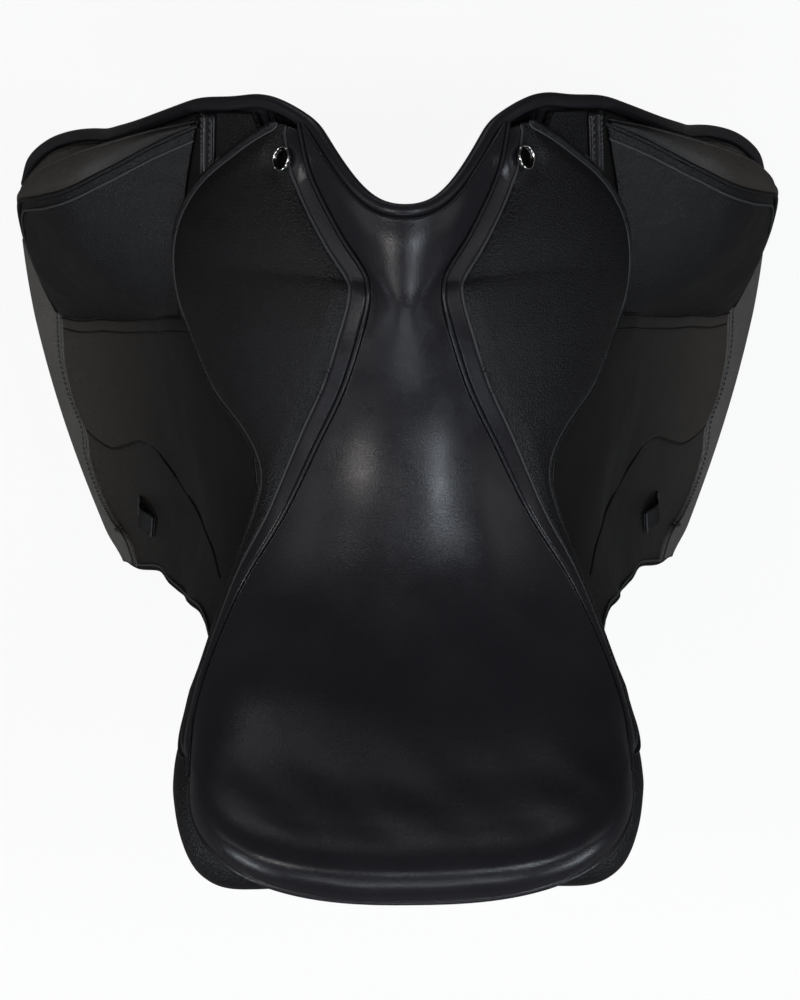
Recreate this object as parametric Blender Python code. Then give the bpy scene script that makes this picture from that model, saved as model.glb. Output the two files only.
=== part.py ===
"""Dressage saddle: a tree with a padded seat, lifting skirts and flaps with thigh blocks, and wool panels.

Metres, +Z up. X points to the saddle's right, Y forward to the pommel. The origin lies between the panels,
under the seat's lowest point, on the level at which the panels bear on the horse. The tables of points below
are in millimetres, with every height measured from the seat's lowest point, SEAT_HEIGHT above the origin.
"""
import math

import bmesh
import bpy
import numpy as np
from mathutils import Matrix, Vector

# Driving sizes
SEAT_HEIGHT = 0.115
GAP = 0.0004

METAL_ROOM = 0.0019

SEAT_LEATHER = 0.002
SEAT_WELT_RADIUS = 0.0017
SKIRT_LEATHER = 0.005
FLAP_LEATHER = 0.0042
BILLET_ROOM = 0.0064
SWEAT_FLAP_LEATHER = 0.0035
PANEL_FRONT_THICKNESS = 0.016

TREE_THICKNESS = 0.009
GULLET_PLATE_THICKNESS = 0.003
HEAD_PLATE_THICKNESS = 0.002
SPRING_THICKNESS = 0.002
SPRING_WIDTH = 0.014
WEB_THICKNESS = 0.0012

FRONT_ROLL_RADIUS = 0.0045
STUD_RADIUS = 0.0085
STUD_HEIGHT = 0.0026

BILLET_WIDTH = 0.025
BILLET_LEATHER = 0.0038
BILLET_HOLE = 0.0022

BAR_LENGTH = 0.078
BAR_SLOT = 0.0085
BAR_PLATE = 0.0025
BAR_ARM = 0.0045
BAR_DEPTH = 0.013
CATCH_LENGTH = 0.012
CATCH_WIDTH = 0.008
CATCH_THICKNESS = 0.002
CATCH_PIN_RADIUS = 0.0012

DEE_WIRE = 0.0012

SIDES = (("left", -1), ("right", 1))


# Smooth lines through chosen points

def smooth(rows):
    """A function of the first column that runs smoothly through every row's other columns."""
    rows = sorted(rows)
    keys = [row[0] for row in rows]
    values = [np.array(row[1:], dtype=float) for row in rows]
    slopes = []
    for i in range(len(rows)):
        before = max(i - 1, 0)
        after = min(i + 1, len(rows) - 1)
        slopes.append((values[after] - values[before]) / (keys[after] - keys[before]))

    def at(key):
        key = min(max(key, keys[0]), keys[-1])
        i = 0
        while i < len(keys) - 2 and key > keys[i + 1]:
            i += 1
        span = keys[i + 1] - keys[i]
        t = (key - keys[i]) / span
        value = (
            values[i] * ((1 + 2 * t) * (1 - t) ** 2)
            + slopes[i] * (span * t * (1 - t) ** 2)
            + values[i + 1] * (t * t * (3 - 2 * t))
            + slopes[i + 1] * (span * t * t * (t - 1))
        )
        return value if len(value) > 1 else float(value[0])

    return at


def millimetres(rows):
    """Rows of millimetres whose first column is a place along the line and stays as it is."""
    return [(row[0], *(value / 1000 for value in row[1:])) for row in rows]


def smooth_line(points):
    """A function from 0 to 1 along the smooth line through points given in millimetres."""
    last = len(points) - 1
    return smooth([(i / last, *(value / 1000 for value in point)) for i, point in enumerate(points)])


def shares(count, first=0.0, last=1.0):
    return [first + (last - first) * i / (count - 1) for i in range(count)]


def mix(first, last, share):
    return first + (last - first) * share


def unit(vector):
    return vector / np.linalg.norm(vector)


def soft_step(value, reach=0.030):
    """Rises from nought to the value itself, rounded over the reach."""
    return 0.5 * (value + math.hypot(value, reach))


def mirrored(point, side):
    return np.array((point[0] * side, point[1], point[2]))


# The seat. Each row crosses from seam to seam, from the pommel's notch (0) to the cantle's edge (1):
# seam half width, y and z, then the middle's y and z, in millimetres

SEAT_ROWS = (
    (0.00, 62, 225, 34, 155, 70),
    (0.07, 55, 193, 37, 141, 67),
    (0.14, 38, 155, 44, 123, 60),
    (0.21, 22.5, 128, 46, 108, 54),
    (0.25, 20.5, 113, 44, 100, 50),
    (0.30, 26, 91, 34, 82, 38),
    (0.36, 36.5, 63, 16, 58, 23),
    (0.43, 52, 35, -3, 30, 7),
    (0.52, 74, -6, -22, -8, 0),
    (0.61, 100, -47, -31, -56, -1),
    (0.70, 119, -93, -23, -115, 11),
    (0.78, 127, -125, -6, -165, 44),
    (0.84, 128.5, -143, 5, -197, 79),
    (0.89, 128.5, -153, 12, -213, 95),
    (0.93, 128.5, -160, 17, -225, 101.5),
    (0.96, 128.5, -164, 20, -233, 100),
    (0.98, 128.5, -166, 21.5, -238.5, 95),
    (1.00, 128, -167, 22, -242, 87),
)
seat_row = smooth(millimetres(SEAT_ROWS))
seat_flatness = smooth(((0.0, 2.0), (0.3, 2.1), (0.55, 2.5), (0.75, 3.1), (1.0, 3.0)))
NOTCH_END = 0.28
CANTLE_START = 0.62
CANTLE_ROUNDNESS = 0.784
SEAT_CORNER = 0.90


def seat_point(row, across):
    """The seat's upper surface: row from pommel 0 to cantle 1, across from left seam -1 to right seam 1."""
    half_width, seam_y, seam_z, middle_y, middle_z = seat_row(row)
    share = abs(across)
    notched = max(0.0, 1 - row / NOTCH_END)
    rounded = min(max((row - CANTLE_START) / (0.85 - CANTLE_START), 0.0), 1.0)
    angle = share * math.pi / 2
    out = mix(share, math.sin(angle) ** CANTLE_ROUNDNESS, rounded)
    notch_back = 1.5 * share ** 2 - 0.5 * share ** 4
    cantle_back = 1 - math.cos(angle) ** CANTLE_ROUNDNESS if share < 1 else 1.0
    back = mix(mix(share ** 2, notch_back, notched), cantle_back, rounded)
    fall = share ** seat_flatness(row)
    sign = 1 if across >= 0 else -1
    return np.array((
        sign * half_width * out,
        mix(middle_y, seam_y, back),
        mix(middle_z, seam_z, fall),
    ))


def normal_of(surface, u, v, step=0.004):
    """The surface's normal, turned to point up or outwards by the order of its two directions."""
    along = surface(min(u + step, 1.0), v) - surface(max(u - step, 0.0), v)
    over = surface(u, min(v + step, 1.0)) - surface(u, max(v - step, -1.0))
    return unit(np.cross(over, along)) * -1


def seat_under(row, across, depth):
    """A point this deep under the seat's surface.

    At the corners, where the rows run into the seam, the normal is taken a little way inside.
    """
    inside = SEAT_CORNER if row > CANTLE_START else 1.0
    normal = normal_of(seat_point, min(row, 0.985), min(max(across, -inside), inside))
    return seat_point(row, across) - normal * depth


# The flap's outer surface, given by its distance from the middle plane at each height

FLAP_REACH = (
    (-460, 217), (-420, 203), (-380, 189), (-340, 176), (-280, 157), (-220, 141), (-160, 128), (-130, 121),
    (-100, 110), (-80, 100), (-60, 88), (-40, 74), (-20, 58), (0, 42), (20, 22),
)
FLAP_SPREAD = ((-0.42, 0.34), (-0.30, 0.30), (-0.20, 0.26), (-0.10, 0.25), (0.02, 0.24))
FLAP_SPREAD_FROM = 0.020
REAR_SPREAD = 0.28
flap_reach = smooth([(z / 1000, x / 1000) for z, x in FLAP_REACH])
flap_spread = smooth(FLAP_SPREAD)


def reach_at(y, z):
    return flap_reach(z) + flap_spread(z) * soft_step(y - FLAP_SPREAD_FROM) + REAR_SPREAD * soft_step(-y)


def flap_normal(y, z, step=0.001):
    slope_y = (reach_at(y + step, z) - reach_at(y - step, z)) / (2 * step)
    slope_z = (reach_at(y, z + step) - reach_at(y, z - step)) / (2 * step)
    return unit(np.array((1.0, -slope_y, -slope_z)))


def flap_point(y, z, out=0.0):
    """A point on the right flap's outer surface, or this far out from it along its normal."""
    return np.array((reach_at(y, z), y, z)) + flap_normal(y, z) * out


def inside_flap(y, z, out):
    """How far from the middle plane the surface at this distance from the flap passes, at this y and z."""
    return reach_at(y, z) + out / flap_normal(y, z)[0]


SWEAT_FLAP_OUT = -(FLAP_LEATHER + BILLET_ROOM)
PANEL_FRONT_OUT = SWEAT_FLAP_OUT - SWEAT_FLAP_LEATHER - 2 * GAP

# The flap's edges, from the skirt down: y and z in millimetres

FLAP_FRONT = ((254, -35), (256, -62), (259, -90), (264, -118), (278, -175), (296, -232), (308, -285),
              (311, -330), (304, -368), (276, -394))
FLAP_REAR = ((-82, -77), (-72, -86), (-61, -98), (-51, -117), (-42, -150), (-30, -200), (-13, -262),
             (2, -300), (14, -365), (30, -408))
FLAP_SPLIT = ((254, -35), (212, -36), (170, -45), (128, -46), (86, -46), (44, -55), (2, -59), (-40, -71),
              (-82, -77))
FLAP_BOTTOM_SAG = 0.034
flap_front = smooth_line(FLAP_FRONT)
flap_rear = smooth_line(FLAP_REAR)
flap_split = smooth_line(FLAP_SPLIT)


def flap_place(down, across, front_trim=0.0, rear_trim=0.0, bottom_trim=0.0):
    """y and z on the flap: down from the skirt 0 to the bottom edge 1, across from front 0 to rear 1."""
    down = down * (1 - bottom_trim)
    front = flap_front(down) + np.array((-front_trim, 0.0))
    rear = flap_rear(down) + np.array((rear_trim, 0.0))
    y, z = mix(front, rear, across)
    rise = flap_split(across)[1] - mix(flap_front(0.0), flap_rear(0.0), across)[1]
    return y, z - FLAP_BOTTOM_SAG * down ** 3 * 4 * across * (1 - across) + rise * (1 - down) ** 4


# The skirt: its inner edge follows the seat's seam, its outer edge lies on the flap.
# Seam row, the outer edge's y and z, whether it lies on the flap (0) or hangs under the seat's side (1), and
# the padded crown between, in millimetres

SKIRT_ROWS = (
    (0.005, 231, 16, 0, 1),
    (0.05, 227, 2, 0, 4),
    (0.09, 217, -33, 0, 8),
    (0.13, 204, -59, 0, 14),
    (0.17, 189, -77, 0, 19),
    (0.21, 170, -89, 0, 22),
    (0.25, 148, -93, 0, 23),
    (0.29, 128, -89, 0, 22),
    (0.33, 106, -84, 0, 19),
    (0.37, 83, -76, 0, 15),
    (0.41, 58, -59, 0, 10),
    (0.45, 38, -50, 0, 6),
    (0.49, 22, -48, 0, 4),
    (0.53, 6, -53, 0, 3),
    (0.57, -12, -59, 0, 3),
    (0.61, -32, -64, 0, 3),
    (0.66, -62, -68, 0, 3),
    (0.70, -88, -64, 0.5, 3),
    (0.74, -110, -52, 1, 3),
    (0.78, -128, -36, 1, 2),
    (0.82, -142, -18, 1, 2),
    (0.86, -152, -4, 1, 1),
    (0.90, -158, 4, 1, 1),
    (0.95, -167, 11, 1, 1),
    (1.00, -173, 17, 1, 1),
)
SKIRT_LAST = len(SKIRT_ROWS) - 1
skirt_row = smooth([
    (i / SKIRT_LAST, row, edge_y / 1000, edge_z / 1000, hanging, crown / 1000)
    for i, (row, edge_y, edge_z, hanging, crown) in enumerate(SKIRT_ROWS)
])
BAND_OVERHANG = 0.0085
WELT_ROOM = 0.0006
WELT_SINK = 0.001
SKIRT_WELT_ROOM = 2 * (SEAT_WELT_RADIUS + WELT_ROOM) + 2 * GAP


def seam_outward(row):
    """The level direction out of the right seam, square to it."""
    ahead = seat_point(max(row - 0.01, 0.0), 1.0)
    behind = seat_point(min(row + 0.01, 1.0), 1.0)
    along = behind - ahead
    outward = unit(np.array((-along[1], along[0], 0.0)))
    return outward


def seam_slope(row):
    """The direction in which the seat's surface falls over the right seam."""
    outward = seam_outward(row)
    fall = seat_point(row, 1.0)[2] - seat_point(row, 0.96)[2]
    run = max(np.dot(seat_point(row, 1.0) - seat_point(row, 0.96), outward), 0.0004)
    return unit(outward + np.array((0.0, 0.0, max(fall / run, -1.6))))


def skirt_point(along, over):
    """The right skirt's upper surface: along from front 0 to rear 1, over from the seam 0 to the edge 1."""
    row, edge_y, edge_z, hanging, crown = skirt_row(along)
    inner = seat_point(row, 1.0) + seam_slope(row) * SKIRT_WELT_ROOM - np.array((0.0, 0.0, WELT_SINK))
    resting = flap_point(edge_y, edge_z, SKIRT_LEATHER + GAP)
    free = np.array((seat_point(row, 1.0)[0] + BAND_OVERHANG, edge_y, edge_z))
    edge = mix(resting, free, min(max(hanging, 0.0), 1.0))
    chord = edge - inner
    up = unit(np.cross(chord, np.array((0.0, 1.0, 0.0))))
    if up[2] < 0:
        up = -up
    return inner + chord * over + up * (crown * 4 * over * (1 - over))


# The line on which skirt and flap lift lies on top of the skirt, just outside the stud

LIFT_FRONT = np.array((0.0835, 0.205, 0.034))
LIFT_REAR = np.array((0.0885, 0.030, -0.018))
SPLIT_GAP = 0.0012
BASE_ROWS = (18, 13)
BASE_COLUMNS = 5
LEAF_ROWS = 18
LEAF_COLUMNS = 7
LEAF_SEARCH = 101
LEAF_START_SPLIT = 0.86
LEAF_END = 0.45
LEAF_END_GAP = 0.008


def beyond_lift_line(point):
    """How far outside the upright plane through the lift line a point lies."""
    direction = LIFT_REAR - LIFT_FRONT
    outward = unit(np.array((-direction[1], direction[0], 0.0)))
    return float(np.dot(point - LIFT_FRONT, outward))


def skirt_split(along):
    """Where the lift line crosses this row of the skirt, 1 where it doesn't."""
    if beyond_lift_line(skirt_point(along, 1.0)) < 0.002:
        return 1.0
    return skirt_over(along, 0.0)


def skirt_over(along, distance):
    """How far over this row of the skirt reaches this distance from the lift line, at most 1."""
    low, high = 0.0, 1.0
    for _ in range(30):
        middle = (low + high) / 2
        if beyond_lift_line(skirt_point(along, middle)) < distance:
            low = middle
        else:
            high = middle
    return high


# Materials

COLOURS = {
    "smooth_leather": ((0.012, 0.011, 0.011), 0.34, 0.0),
    "grained_leather": ((0.014, 0.013, 0.013), 0.5, 0.0),
    "rough_leather": ((0.030, 0.029, 0.028), 0.7, 0.0),
    "tree_wood": ((0.42, 0.28, 0.16), 0.6, 0.0),
    "steel": ((0.55, 0.55, 0.56), 0.3, 1.0),
    "nickel": ((0.72, 0.71, 0.69), 0.18, 1.0),
    "foam": ((0.75, 0.72, 0.62), 0.9, 0.0),
    "webbing": ((0.62, 0.58, 0.48), 0.85, 0.0),
    "label": ((0.55, 0.55, 0.55), 0.6, 0.0),
}


def material(name):
    found = bpy.data.materials.get(name)
    if found:
        return found
    colour, roughness, metallic = COLOURS[name]
    made = bpy.data.materials.new(name)
    made.use_nodes = True
    shader = made.node_tree.nodes["Principled BSDF"]
    shader.inputs["Base Color"].default_value = (*colour, 1)
    shader.inputs["Roughness"].default_value = roughness
    shader.inputs["Metallic"].default_value = metallic
    made.diffuse_color = (*colour, 1)
    return made


# Builders of solids

def add_object(name, data, material_name, origin=(0.0, 0.0, 0.0)):
    thing = bpy.data.objects.new(name, data)
    bpy.context.scene.collection.objects.link(thing)
    data.materials.append(material(material_name))
    thing.location = Vector(origin) + Vector((0, 0, SEAT_HEIGHT))
    return thing


def mesh_object(name, points, faces, material_name, origin=(0.0, 0.0, 0.0), smooth_shading=True):
    """A mesh object with its faces turned outwards."""
    data = bpy.data.meshes.new(name)
    start = np.array(origin)
    data.from_pydata([tuple(np.array(point) - start) for point in points], [], faces)
    work = bmesh.new()
    work.from_mesh(data)
    bmesh.ops.recalc_face_normals(work, faces=work.faces)
    if work.calc_volume(signed=True) < 0:
        bmesh.ops.reverse_faces(work, faces=work.faces)
    work.to_mesh(data)
    work.free()
    if smooth_shading:
        data.shade_smooth()
        data.set_sharp_from_angle(angle=math.radians(40))
    return add_object(name, data, material_name, origin)


def grid_faces(rows, columns, closed_rows=False, closed_columns=False, first=0):
    faces = []
    for i in range(rows if closed_rows else rows - 1):
        for j in range(columns if closed_columns else columns - 1):
            next_i = (i + 1) % rows
            next_j = (j + 1) % columns
            faces.append((
                first + i * columns + j,
                first + next_i * columns + j,
                first + next_i * columns + next_j,
                first + i * columns + next_j,
            ))
    return faces


def slab(name, upper, lower, material_name, origin=(0.0, 0.0, 0.0)):
    """A closed solid between two grids of points that have the same rows and columns."""
    rows = len(upper)
    columns = len(upper[0])
    points = [point for row in upper for point in row] + [point for row in lower for point in row]
    below = rows * columns
    faces = grid_faces(rows, columns)
    faces += [tuple(reversed(face)) for face in grid_faces(rows, columns, first=below)]
    rim = [j for j in range(columns)]
    rim += [i * columns + columns - 1 for i in range(1, rows)]
    rim += [(rows - 1) * columns + j for j in range(columns - 2, -1, -1)]
    rim += [i * columns for i in range(rows - 2, 0, -1)]
    for k, corner in enumerate(rim):
        after = rim[(k + 1) % len(rim)]
        faces.append((corner, after, after + below, corner + below))
    return mesh_object(name, points, faces, material_name, origin)


def sheet(name, grid, thickness, material_name, origin=(0.0, 0.0, 0.0), outward=(0.0, 0.0, 1.0)):
    """Leather of this thickness laid under a grid of points on its outer face."""
    rows = len(grid)
    columns = len(grid[0])
    lower = []
    hint = np.array(outward)
    for i in range(rows):
        line = []
        for j in range(columns):
            along = grid[min(i + 1, rows - 1)][j] - grid[max(i - 1, 0)][j]
            over = grid[i][min(j + 1, columns - 1)] - grid[i][max(j - 1, 0)]
            normal = unit(np.cross(along, over))
            if np.dot(normal, hint) < 0:
                normal = -normal
            line.append(grid[i][j] - normal * thickness)
        lower.append(line)
    return slab(name, grid, lower, material_name, origin)


def rings(name, loops, material_name, origin=(0.0, 0.0, 0.0), closed=False):
    """A solid skinned over closed loops of points, its two ends closed by flat caps."""
    columns = len(loops[0])
    points = [point for loop in loops for point in loop]
    faces = grid_faces(len(loops), columns, closed_rows=closed, closed_columns=True)
    if not closed:
        faces.append(tuple(range(columns)))
        faces.append(tuple((len(loops) - 1) * columns + k for k in reversed(range(columns))))
    return mesh_object(name, points, faces, material_name, origin)


def tube(name, points, radius, material_name, closed=False, resolution=1, origin=(0.0, 0.0, 0.0)):
    """A round tube along the points, with filled ends."""
    data = bpy.data.curves.new(name, "CURVE")
    data.dimensions = "3D"
    data.resolution_u = 1
    data.render_resolution_u = 0
    data.bevel_depth = radius
    data.bevel_resolution = resolution
    data.use_fill_caps = True
    line = data.splines.new("POLY")
    line.points.add(len(points) - 1)
    for place, point in zip(line.points, points):
        place.co = (*(np.array(point) - np.array(origin)), 1)
    line.use_cyclic_u = closed
    return add_object(name, data, material_name, origin)


def frame_from(origin, along, outward):
    """A matrix whose x runs along, whose z runs outward and whose y is square to both."""
    x = Vector(along).normalized()
    y = Vector(outward).cross(x).normalized()
    z = x.cross(y)
    return Matrix.Translation(Vector(origin)) @ Matrix((x, y, z)).transposed().to_4x4()


def cut(thing, cutters):
    """Cuts the cutters out of a thing and keeps them as wire guides."""
    for cutter in cutters:
        cutter.hide_render = True
        cutter.display_type = "WIRE"
        step = thing.modifiers.new("cut", "BOOLEAN")
        step.operation = "DIFFERENCE"
        step.solver = "EXACT"
        step.object = cutter


# The tree, under the foam

TREE_TOP = (
    # y, height in the middle, and how fast it falls to the sides
    (-240, 80, 0.9), (-220, 70, 0.9), (-190, 40, 0.9), (-150, 8, 1.0), (-100, -19, 1.5), (-50, -28, 2.6),
    (0, -26, 3.8), (50, -6, 6.5), (100, 25, 8.6), (140, 42, 12.0), (190, 56, 11.5), (210, 58, 11.5),
)
tree_top_row = smooth([(y / 1000, z / 1000, fall) for y, z, fall in TREE_TOP])
TREE_STATIONS = 32
TREE_ACROSS = 5
TREE_OUTER = ((0, 144), (24, 154), (44, 178), (58, 198), (66, 192), (63, 165), (60, 130), (57, 90), (55, 50),
              (58, 5), (72, -40), (88, -85), (100, -130), (103, -160), (97, -192), (78, -215), (42, -228),
              (0, -232))
TREE_INNER = ((0, 92), (8, 91), (14, 90), (18, 88), (21, 84), (24, 78), (27, 68), (30, 54), (32, 34),
              (36, 2), (47, -40), (58, -82), (66, -120), (67, -145), (60, -166), (44, -179), (22, -185),
              (0, -186))


def tree_top(x, y):
    middle, fall = tree_top_row(y)
    return middle - fall * x * x


def tree_frame():
    """The laminated beech tree: head, two rails and cantle round an open seat."""
    count = TREE_STATIONS
    outer_line = smooth_line(TREE_OUTER)
    inner_line = smooth_line(TREE_INNER)
    half = [(outer_line(s), inner_line(s)) for s in shares(count)]
    loop = [(o, i, 1) for o, i in half] + [(o, i, -1) for o, i in reversed(half[1:-1])]
    sections = []
    for outer, inner, side in loop:
        section = []
        for depth in (0, 1):
            for share in shares(TREE_ACROSS, depth, 1 - depth):
                x, y = mix(outer, inner, share)
                section.append(np.array((x * side, y, tree_top(x, y) - TREE_THICKNESS * depth)))
        sections.append(section)
    return rings("tree_frame", sections, "tree_wood", closed=True)


SEAT_GRID_ROWS = shares(13, 0.0, 0.66) + shares(10, 0.72, 1.0)
SEAT_GRID_COLUMNS = 17
FOAM_ROOM = 0.0018
FOAM_FIRST_ROW = 0.022
FOAM_LAST_ROW = 0.955
FOAM_EDGE = 0.97
FOAM_LEAST = 0.003


def seat_layer(depth, first=0.0, last=1.0, edge=1.0):
    """The seat's surface at a depth under the leather's outer face, its border drawn in where asked."""
    rows = [first] + [row for row in SEAT_GRID_ROWS if first < row < last] + [last]
    columns = [-edge] + shares(SEAT_GRID_COLUMNS, -1.0, 1.0)[1:-1] + [edge]
    return [[seat_under(row, across, depth) for across in columns] for row in rows]


def seat_foam():
    upper = seat_layer(SEAT_LEATHER + FOAM_ROOM, FOAM_FIRST_ROW, FOAM_LAST_ROW, FOAM_EDGE)
    lower = []
    for line in upper:
        under = []
        for x, y, z in line:
            plate_room = (HEAD_PLATE_THICKNESS + METAL_ROOM) * min(max((y - 0.075) / 0.02, 0.0), 1.0)
            under.append(np.array((x, y, min(tree_top(abs(x), y) + FOAM_ROOM + plate_room, z - FOAM_LEAST))))
        lower.append(under)
    return slab("seat_foam", upper, lower, "foam")


def seat_cover():
    return slab("seat_cover", seat_layer(0.0), seat_layer(SEAT_LEATHER), "smooth_leather")


def seat_welts():
    for word, side in SIDES:
        points = []
        for row in SEAT_GRID_ROWS[:-2]:
            point = seat_point(row, 1.0) + seam_slope(row) * (SEAT_WELT_RADIUS + WELT_ROOM)
            point = point - np.array((0.0, 0.0, WELT_SINK))
            points.append(mirrored(point, side))
        tube("seat_welt_" + word, points, SEAT_WELT_RADIUS, "smooth_leather")


# Skirts

def lift_centre(side):
    """The middle of the line on which the skirt and the flap lift."""
    return mirrored(mix(LIFT_FRONT, LIFT_REAR, 0.5), side)


def skirt_grid(side, alongs, first, last, columns):
    grid = []
    for along in alongs:
        grid.append([mirrored(skirt_point(along, over), side)
                     for over in shares(columns, first(along), last(along))])
    return grid


def skirts():
    leaf_start = min(along for along in shares(LEAF_SEARCH) if skirt_split(along) < LEAF_START_SPLIT)

    def base_edge(along):
        return 1.0 if along > LEAF_END + LEAF_END_GAP else skirt_over(along, -SPLIT_GAP)

    for word, side in SIDES:
        alongs = shares(BASE_ROWS[0], 0.0, LEAF_END + LEAF_END_GAP / 2)
        alongs += shares(BASE_ROWS[1], LEAF_END + 2 * LEAF_END_GAP, 1.0)
        base = skirt_grid(side, alongs, lambda along: 0.0, base_edge, BASE_COLUMNS)
        sheet("skirt_base_" + word, base, SKIRT_LEATHER, "smooth_leather", outward=(side, 0, 1))
        alongs = shares(LEAF_ROWS, leaf_start, LEAF_END)
        leaf = skirt_grid(side, alongs, skirt_split, lambda along: 1.0, LEAF_COLUMNS)
        sheet("skirt_" + word, leaf, SKIRT_LEATHER, "grained_leather", lift_centre(side), (side, 0, 1))


# Flaps

FLAP_TOP_EDGE = ((241, 4), (222, 6), (202, 4), (184, -4), (168, -16), (154, -27), (130, -31), (100, -31),
                 (75, -30), (48, -28), (18, -29), (-14, -38), (-44, -50), (-72, -60))
FLAP_SPLIT_GAP = 0.002
FLAP_ROWS = 16
FLAP_COLUMNS = 13
SWEAT_FLAP_TRIM = {"front_trim": -0.004, "rear_trim": 0.040, "bottom_trim": 0.04}


def flap_grid(side, rows, columns, out, **trims):
    grid = []
    for down in shares(rows):
        line = []
        for across in shares(columns):
            y, z = flap_place(down, across, **trims)
            line.append(mirrored(flap_point(y, z, out), side))
        grid.append(line)
    return grid


def flaps():
    top_edge = smooth_line(FLAP_TOP_EDGE)
    for word, side in SIDES:
        outward = (side, 0, 0)
        sheet("flap_" + word, flap_grid(side, FLAP_ROWS, FLAP_COLUMNS, 0.0), FLAP_LEATHER, "smooth_leather",
              lift_centre(side), outward)
        grid = []
        for down in shares(4):
            line = []
            for across in shares(22):
                upper = np.array(top_edge(across))
                lower = np.array(flap_place(0.0, across)) + np.array((0.0, FLAP_SPLIT_GAP))
                y, z = mix(upper, lower, down)
                line.append(mirrored(flap_point(y, z), side))
            grid.append(line)
        sheet("flap_top_" + word, grid, FLAP_LEATHER, "smooth_leather", outward=outward)
        sweat = flap_grid(side, 13, 9, SWEAT_FLAP_OUT, **SWEAT_FLAP_TRIM)
        sheet("sweat_flap_" + word, sweat, SWEAT_FLAP_LEATHER, "grained_leather", outward=outward)


TRIM_LEATHER = 0.0014
TRIM_ROOM = 0.0006
TRIM_TOP = 0.925
TAB_PLACE = np.array((0.045, -0.310))
TAB_ALONG = unit(np.array((0.70, -0.72)))
TAB_ACROSS = np.array((TAB_ALONG[1], -TAB_ALONG[0]))
TAB_LENGTH = 0.030
TAB_WIDTH = 0.017
TAB_LEATHER = 0.0016


def flap_trims():
    """The strip of rough leather along each flap's lower edge, and the plain tab above it."""
    for word, side in SIDES:
        columns = shares(FLAP_COLUMNS)
        grid = []
        for down in (TRIM_TOP, 0.95, 0.975, 0.998):
            line = []
            for across in columns:
                y, z = flap_place(down, min(max(across, 0.005), 0.995))
                line.append(mirrored(flap_point(y, z, TRIM_LEATHER + TRIM_ROOM), side))
            grid.append(line)
        sheet("flap_trim_" + word, grid, TRIM_LEATHER, "rough_leather", lift_centre(side), (side, 0, 0))
        grid = []
        for along in shares(4, -0.5, 0.5):
            line = []
            for over in shares(3, -0.5, 0.5):
                y, z = TAB_PLACE + TAB_ALONG * along * TAB_LENGTH + TAB_ACROSS * over * TAB_WIDTH
                line.append(mirrored(flap_point(y, z, TAB_LEATHER + TRIM_ROOM), side))
            grid.append(line)
        sheet("flap_tab_" + word, grid, TAB_LEATHER, "smooth_leather", lift_centre(side), (side, 0, 0))


# The roll round the front: over the pommel's notch and down in front of both flaps

ROLL_AHEAD = 0.0056
ROLL_END = 0.90
ROLL_OUT = -0.003
ROLL_DROP = 0.0045


def notch_point(across):
    """A point on the seat's front edge and the level direction straight ahead of it."""
    ahead = seat_point(0.0, min(across + 0.02, 1.0)) - seat_point(0.0, max(across - 0.02, -1.0))
    return seat_point(0.0, across), unit(np.array((-ahead[1], ahead[0], 0.0)))


def roll_path():
    """The roll's middle line on the right side, from the pommel to the flap's lower corner."""
    path = []
    for across in shares(9, 0.0, 0.97):
        edge, ahead = notch_point(across)
        path.append(edge + ahead * (FRONT_ROLL_RADIUS + 2 * GAP) - np.array((0.0, 0.0, ROLL_DROP)))
    for y, z in ((0.2405, 0.012), (0.2465, -0.010)):
        path.append(flap_point(y + ROLL_AHEAD, z, ROLL_OUT))
    for down in shares(15, 0.0, ROLL_END):
        y, z = flap_front(down)
        path.append(flap_point(y + ROLL_AHEAD, z, ROLL_OUT))
    return path


def front_roll():
    half = roll_path()
    points = [mirrored(point, -1) for point in reversed(half[1:])] + half
    tube("front_roll", points, FRONT_ROLL_RADIUS, "smooth_leather")


# Leather over the tree's two ends

FACING_LEATHER = 0.0018
CANTLE_WELT_RADIUS = 0.0021
CANTLE_WELT_ROOM = 0.0013
CANTLE_FACING_BOTTOM = -0.012
POMMEL_FACING_BOTTOM = ((0, 150, 34), (14, 153, 33), (28, 169, 25), (41, 187, 15), (53, 203, 4),
                        (65, 214, -10), (79, 227, -32), (92, 236, -54))


def cantle_rim(across):
    """A point on the cantle's edge and the level direction straight out of it."""
    ahead = seat_point(1.0, min(across + 0.02, 1.0)) - seat_point(1.0, max(across - 0.02, -1.0))
    return seat_point(1.0, across), unit(np.array((ahead[1], -ahead[0], 0.0)))


def cantle_leather():
    welt = []
    rows = [[], [], [], []]
    for across in shares(27, -0.985, 0.985):
        rim, outward = cantle_rim(across)
        welt.append(rim - np.array((0.0, 0.0, CANTLE_WELT_RADIUS + CANTLE_WELT_ROOM)))
        top = rim - outward * 0.0008
        top[2] -= 2 * (CANTLE_WELT_RADIUS + CANTLE_WELT_ROOM)
        height = top[2] - CANTLE_FACING_BOTTOM
        for row, (inward, fall) in zip(rows, ((0.0, 0.0), (0.0008, 0.22), (0.010, 0.60), (0.020, 1.0))):
            share = min(height / 0.06, 1.0)
            row.append(top - outward * inward * share - np.array((0.0, 0.0, height * fall)))
    tube("cantle_welt", welt, CANTLE_WELT_RADIUS, "smooth_leather")
    sheet("cantle_facing", rows, FACING_LEATHER, "smooth_leather", outward=(0, -1, 0.0))


def pommel_facing():
    roll = roll_path()[:11]
    bottom = smooth_line(POMMEL_FACING_BOTTOM)
    half = []
    for i, centre in enumerate(roll):
        low = bottom(i / (len(roll) - 1))
        high = centre - np.array((0.0, 0.0015, FRONT_ROLL_RADIUS + 0.0018))
        half.append([mix(high, low, share) for share in (0.0, 0.5, 1.0)])
    stations = [[mirrored(point, -1) for point in line] for line in reversed(half[1:])] + half
    sheet("pommel_facing", stations, FACING_LEATHER, "smooth_leather", outward=(0, 1, 0))


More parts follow.
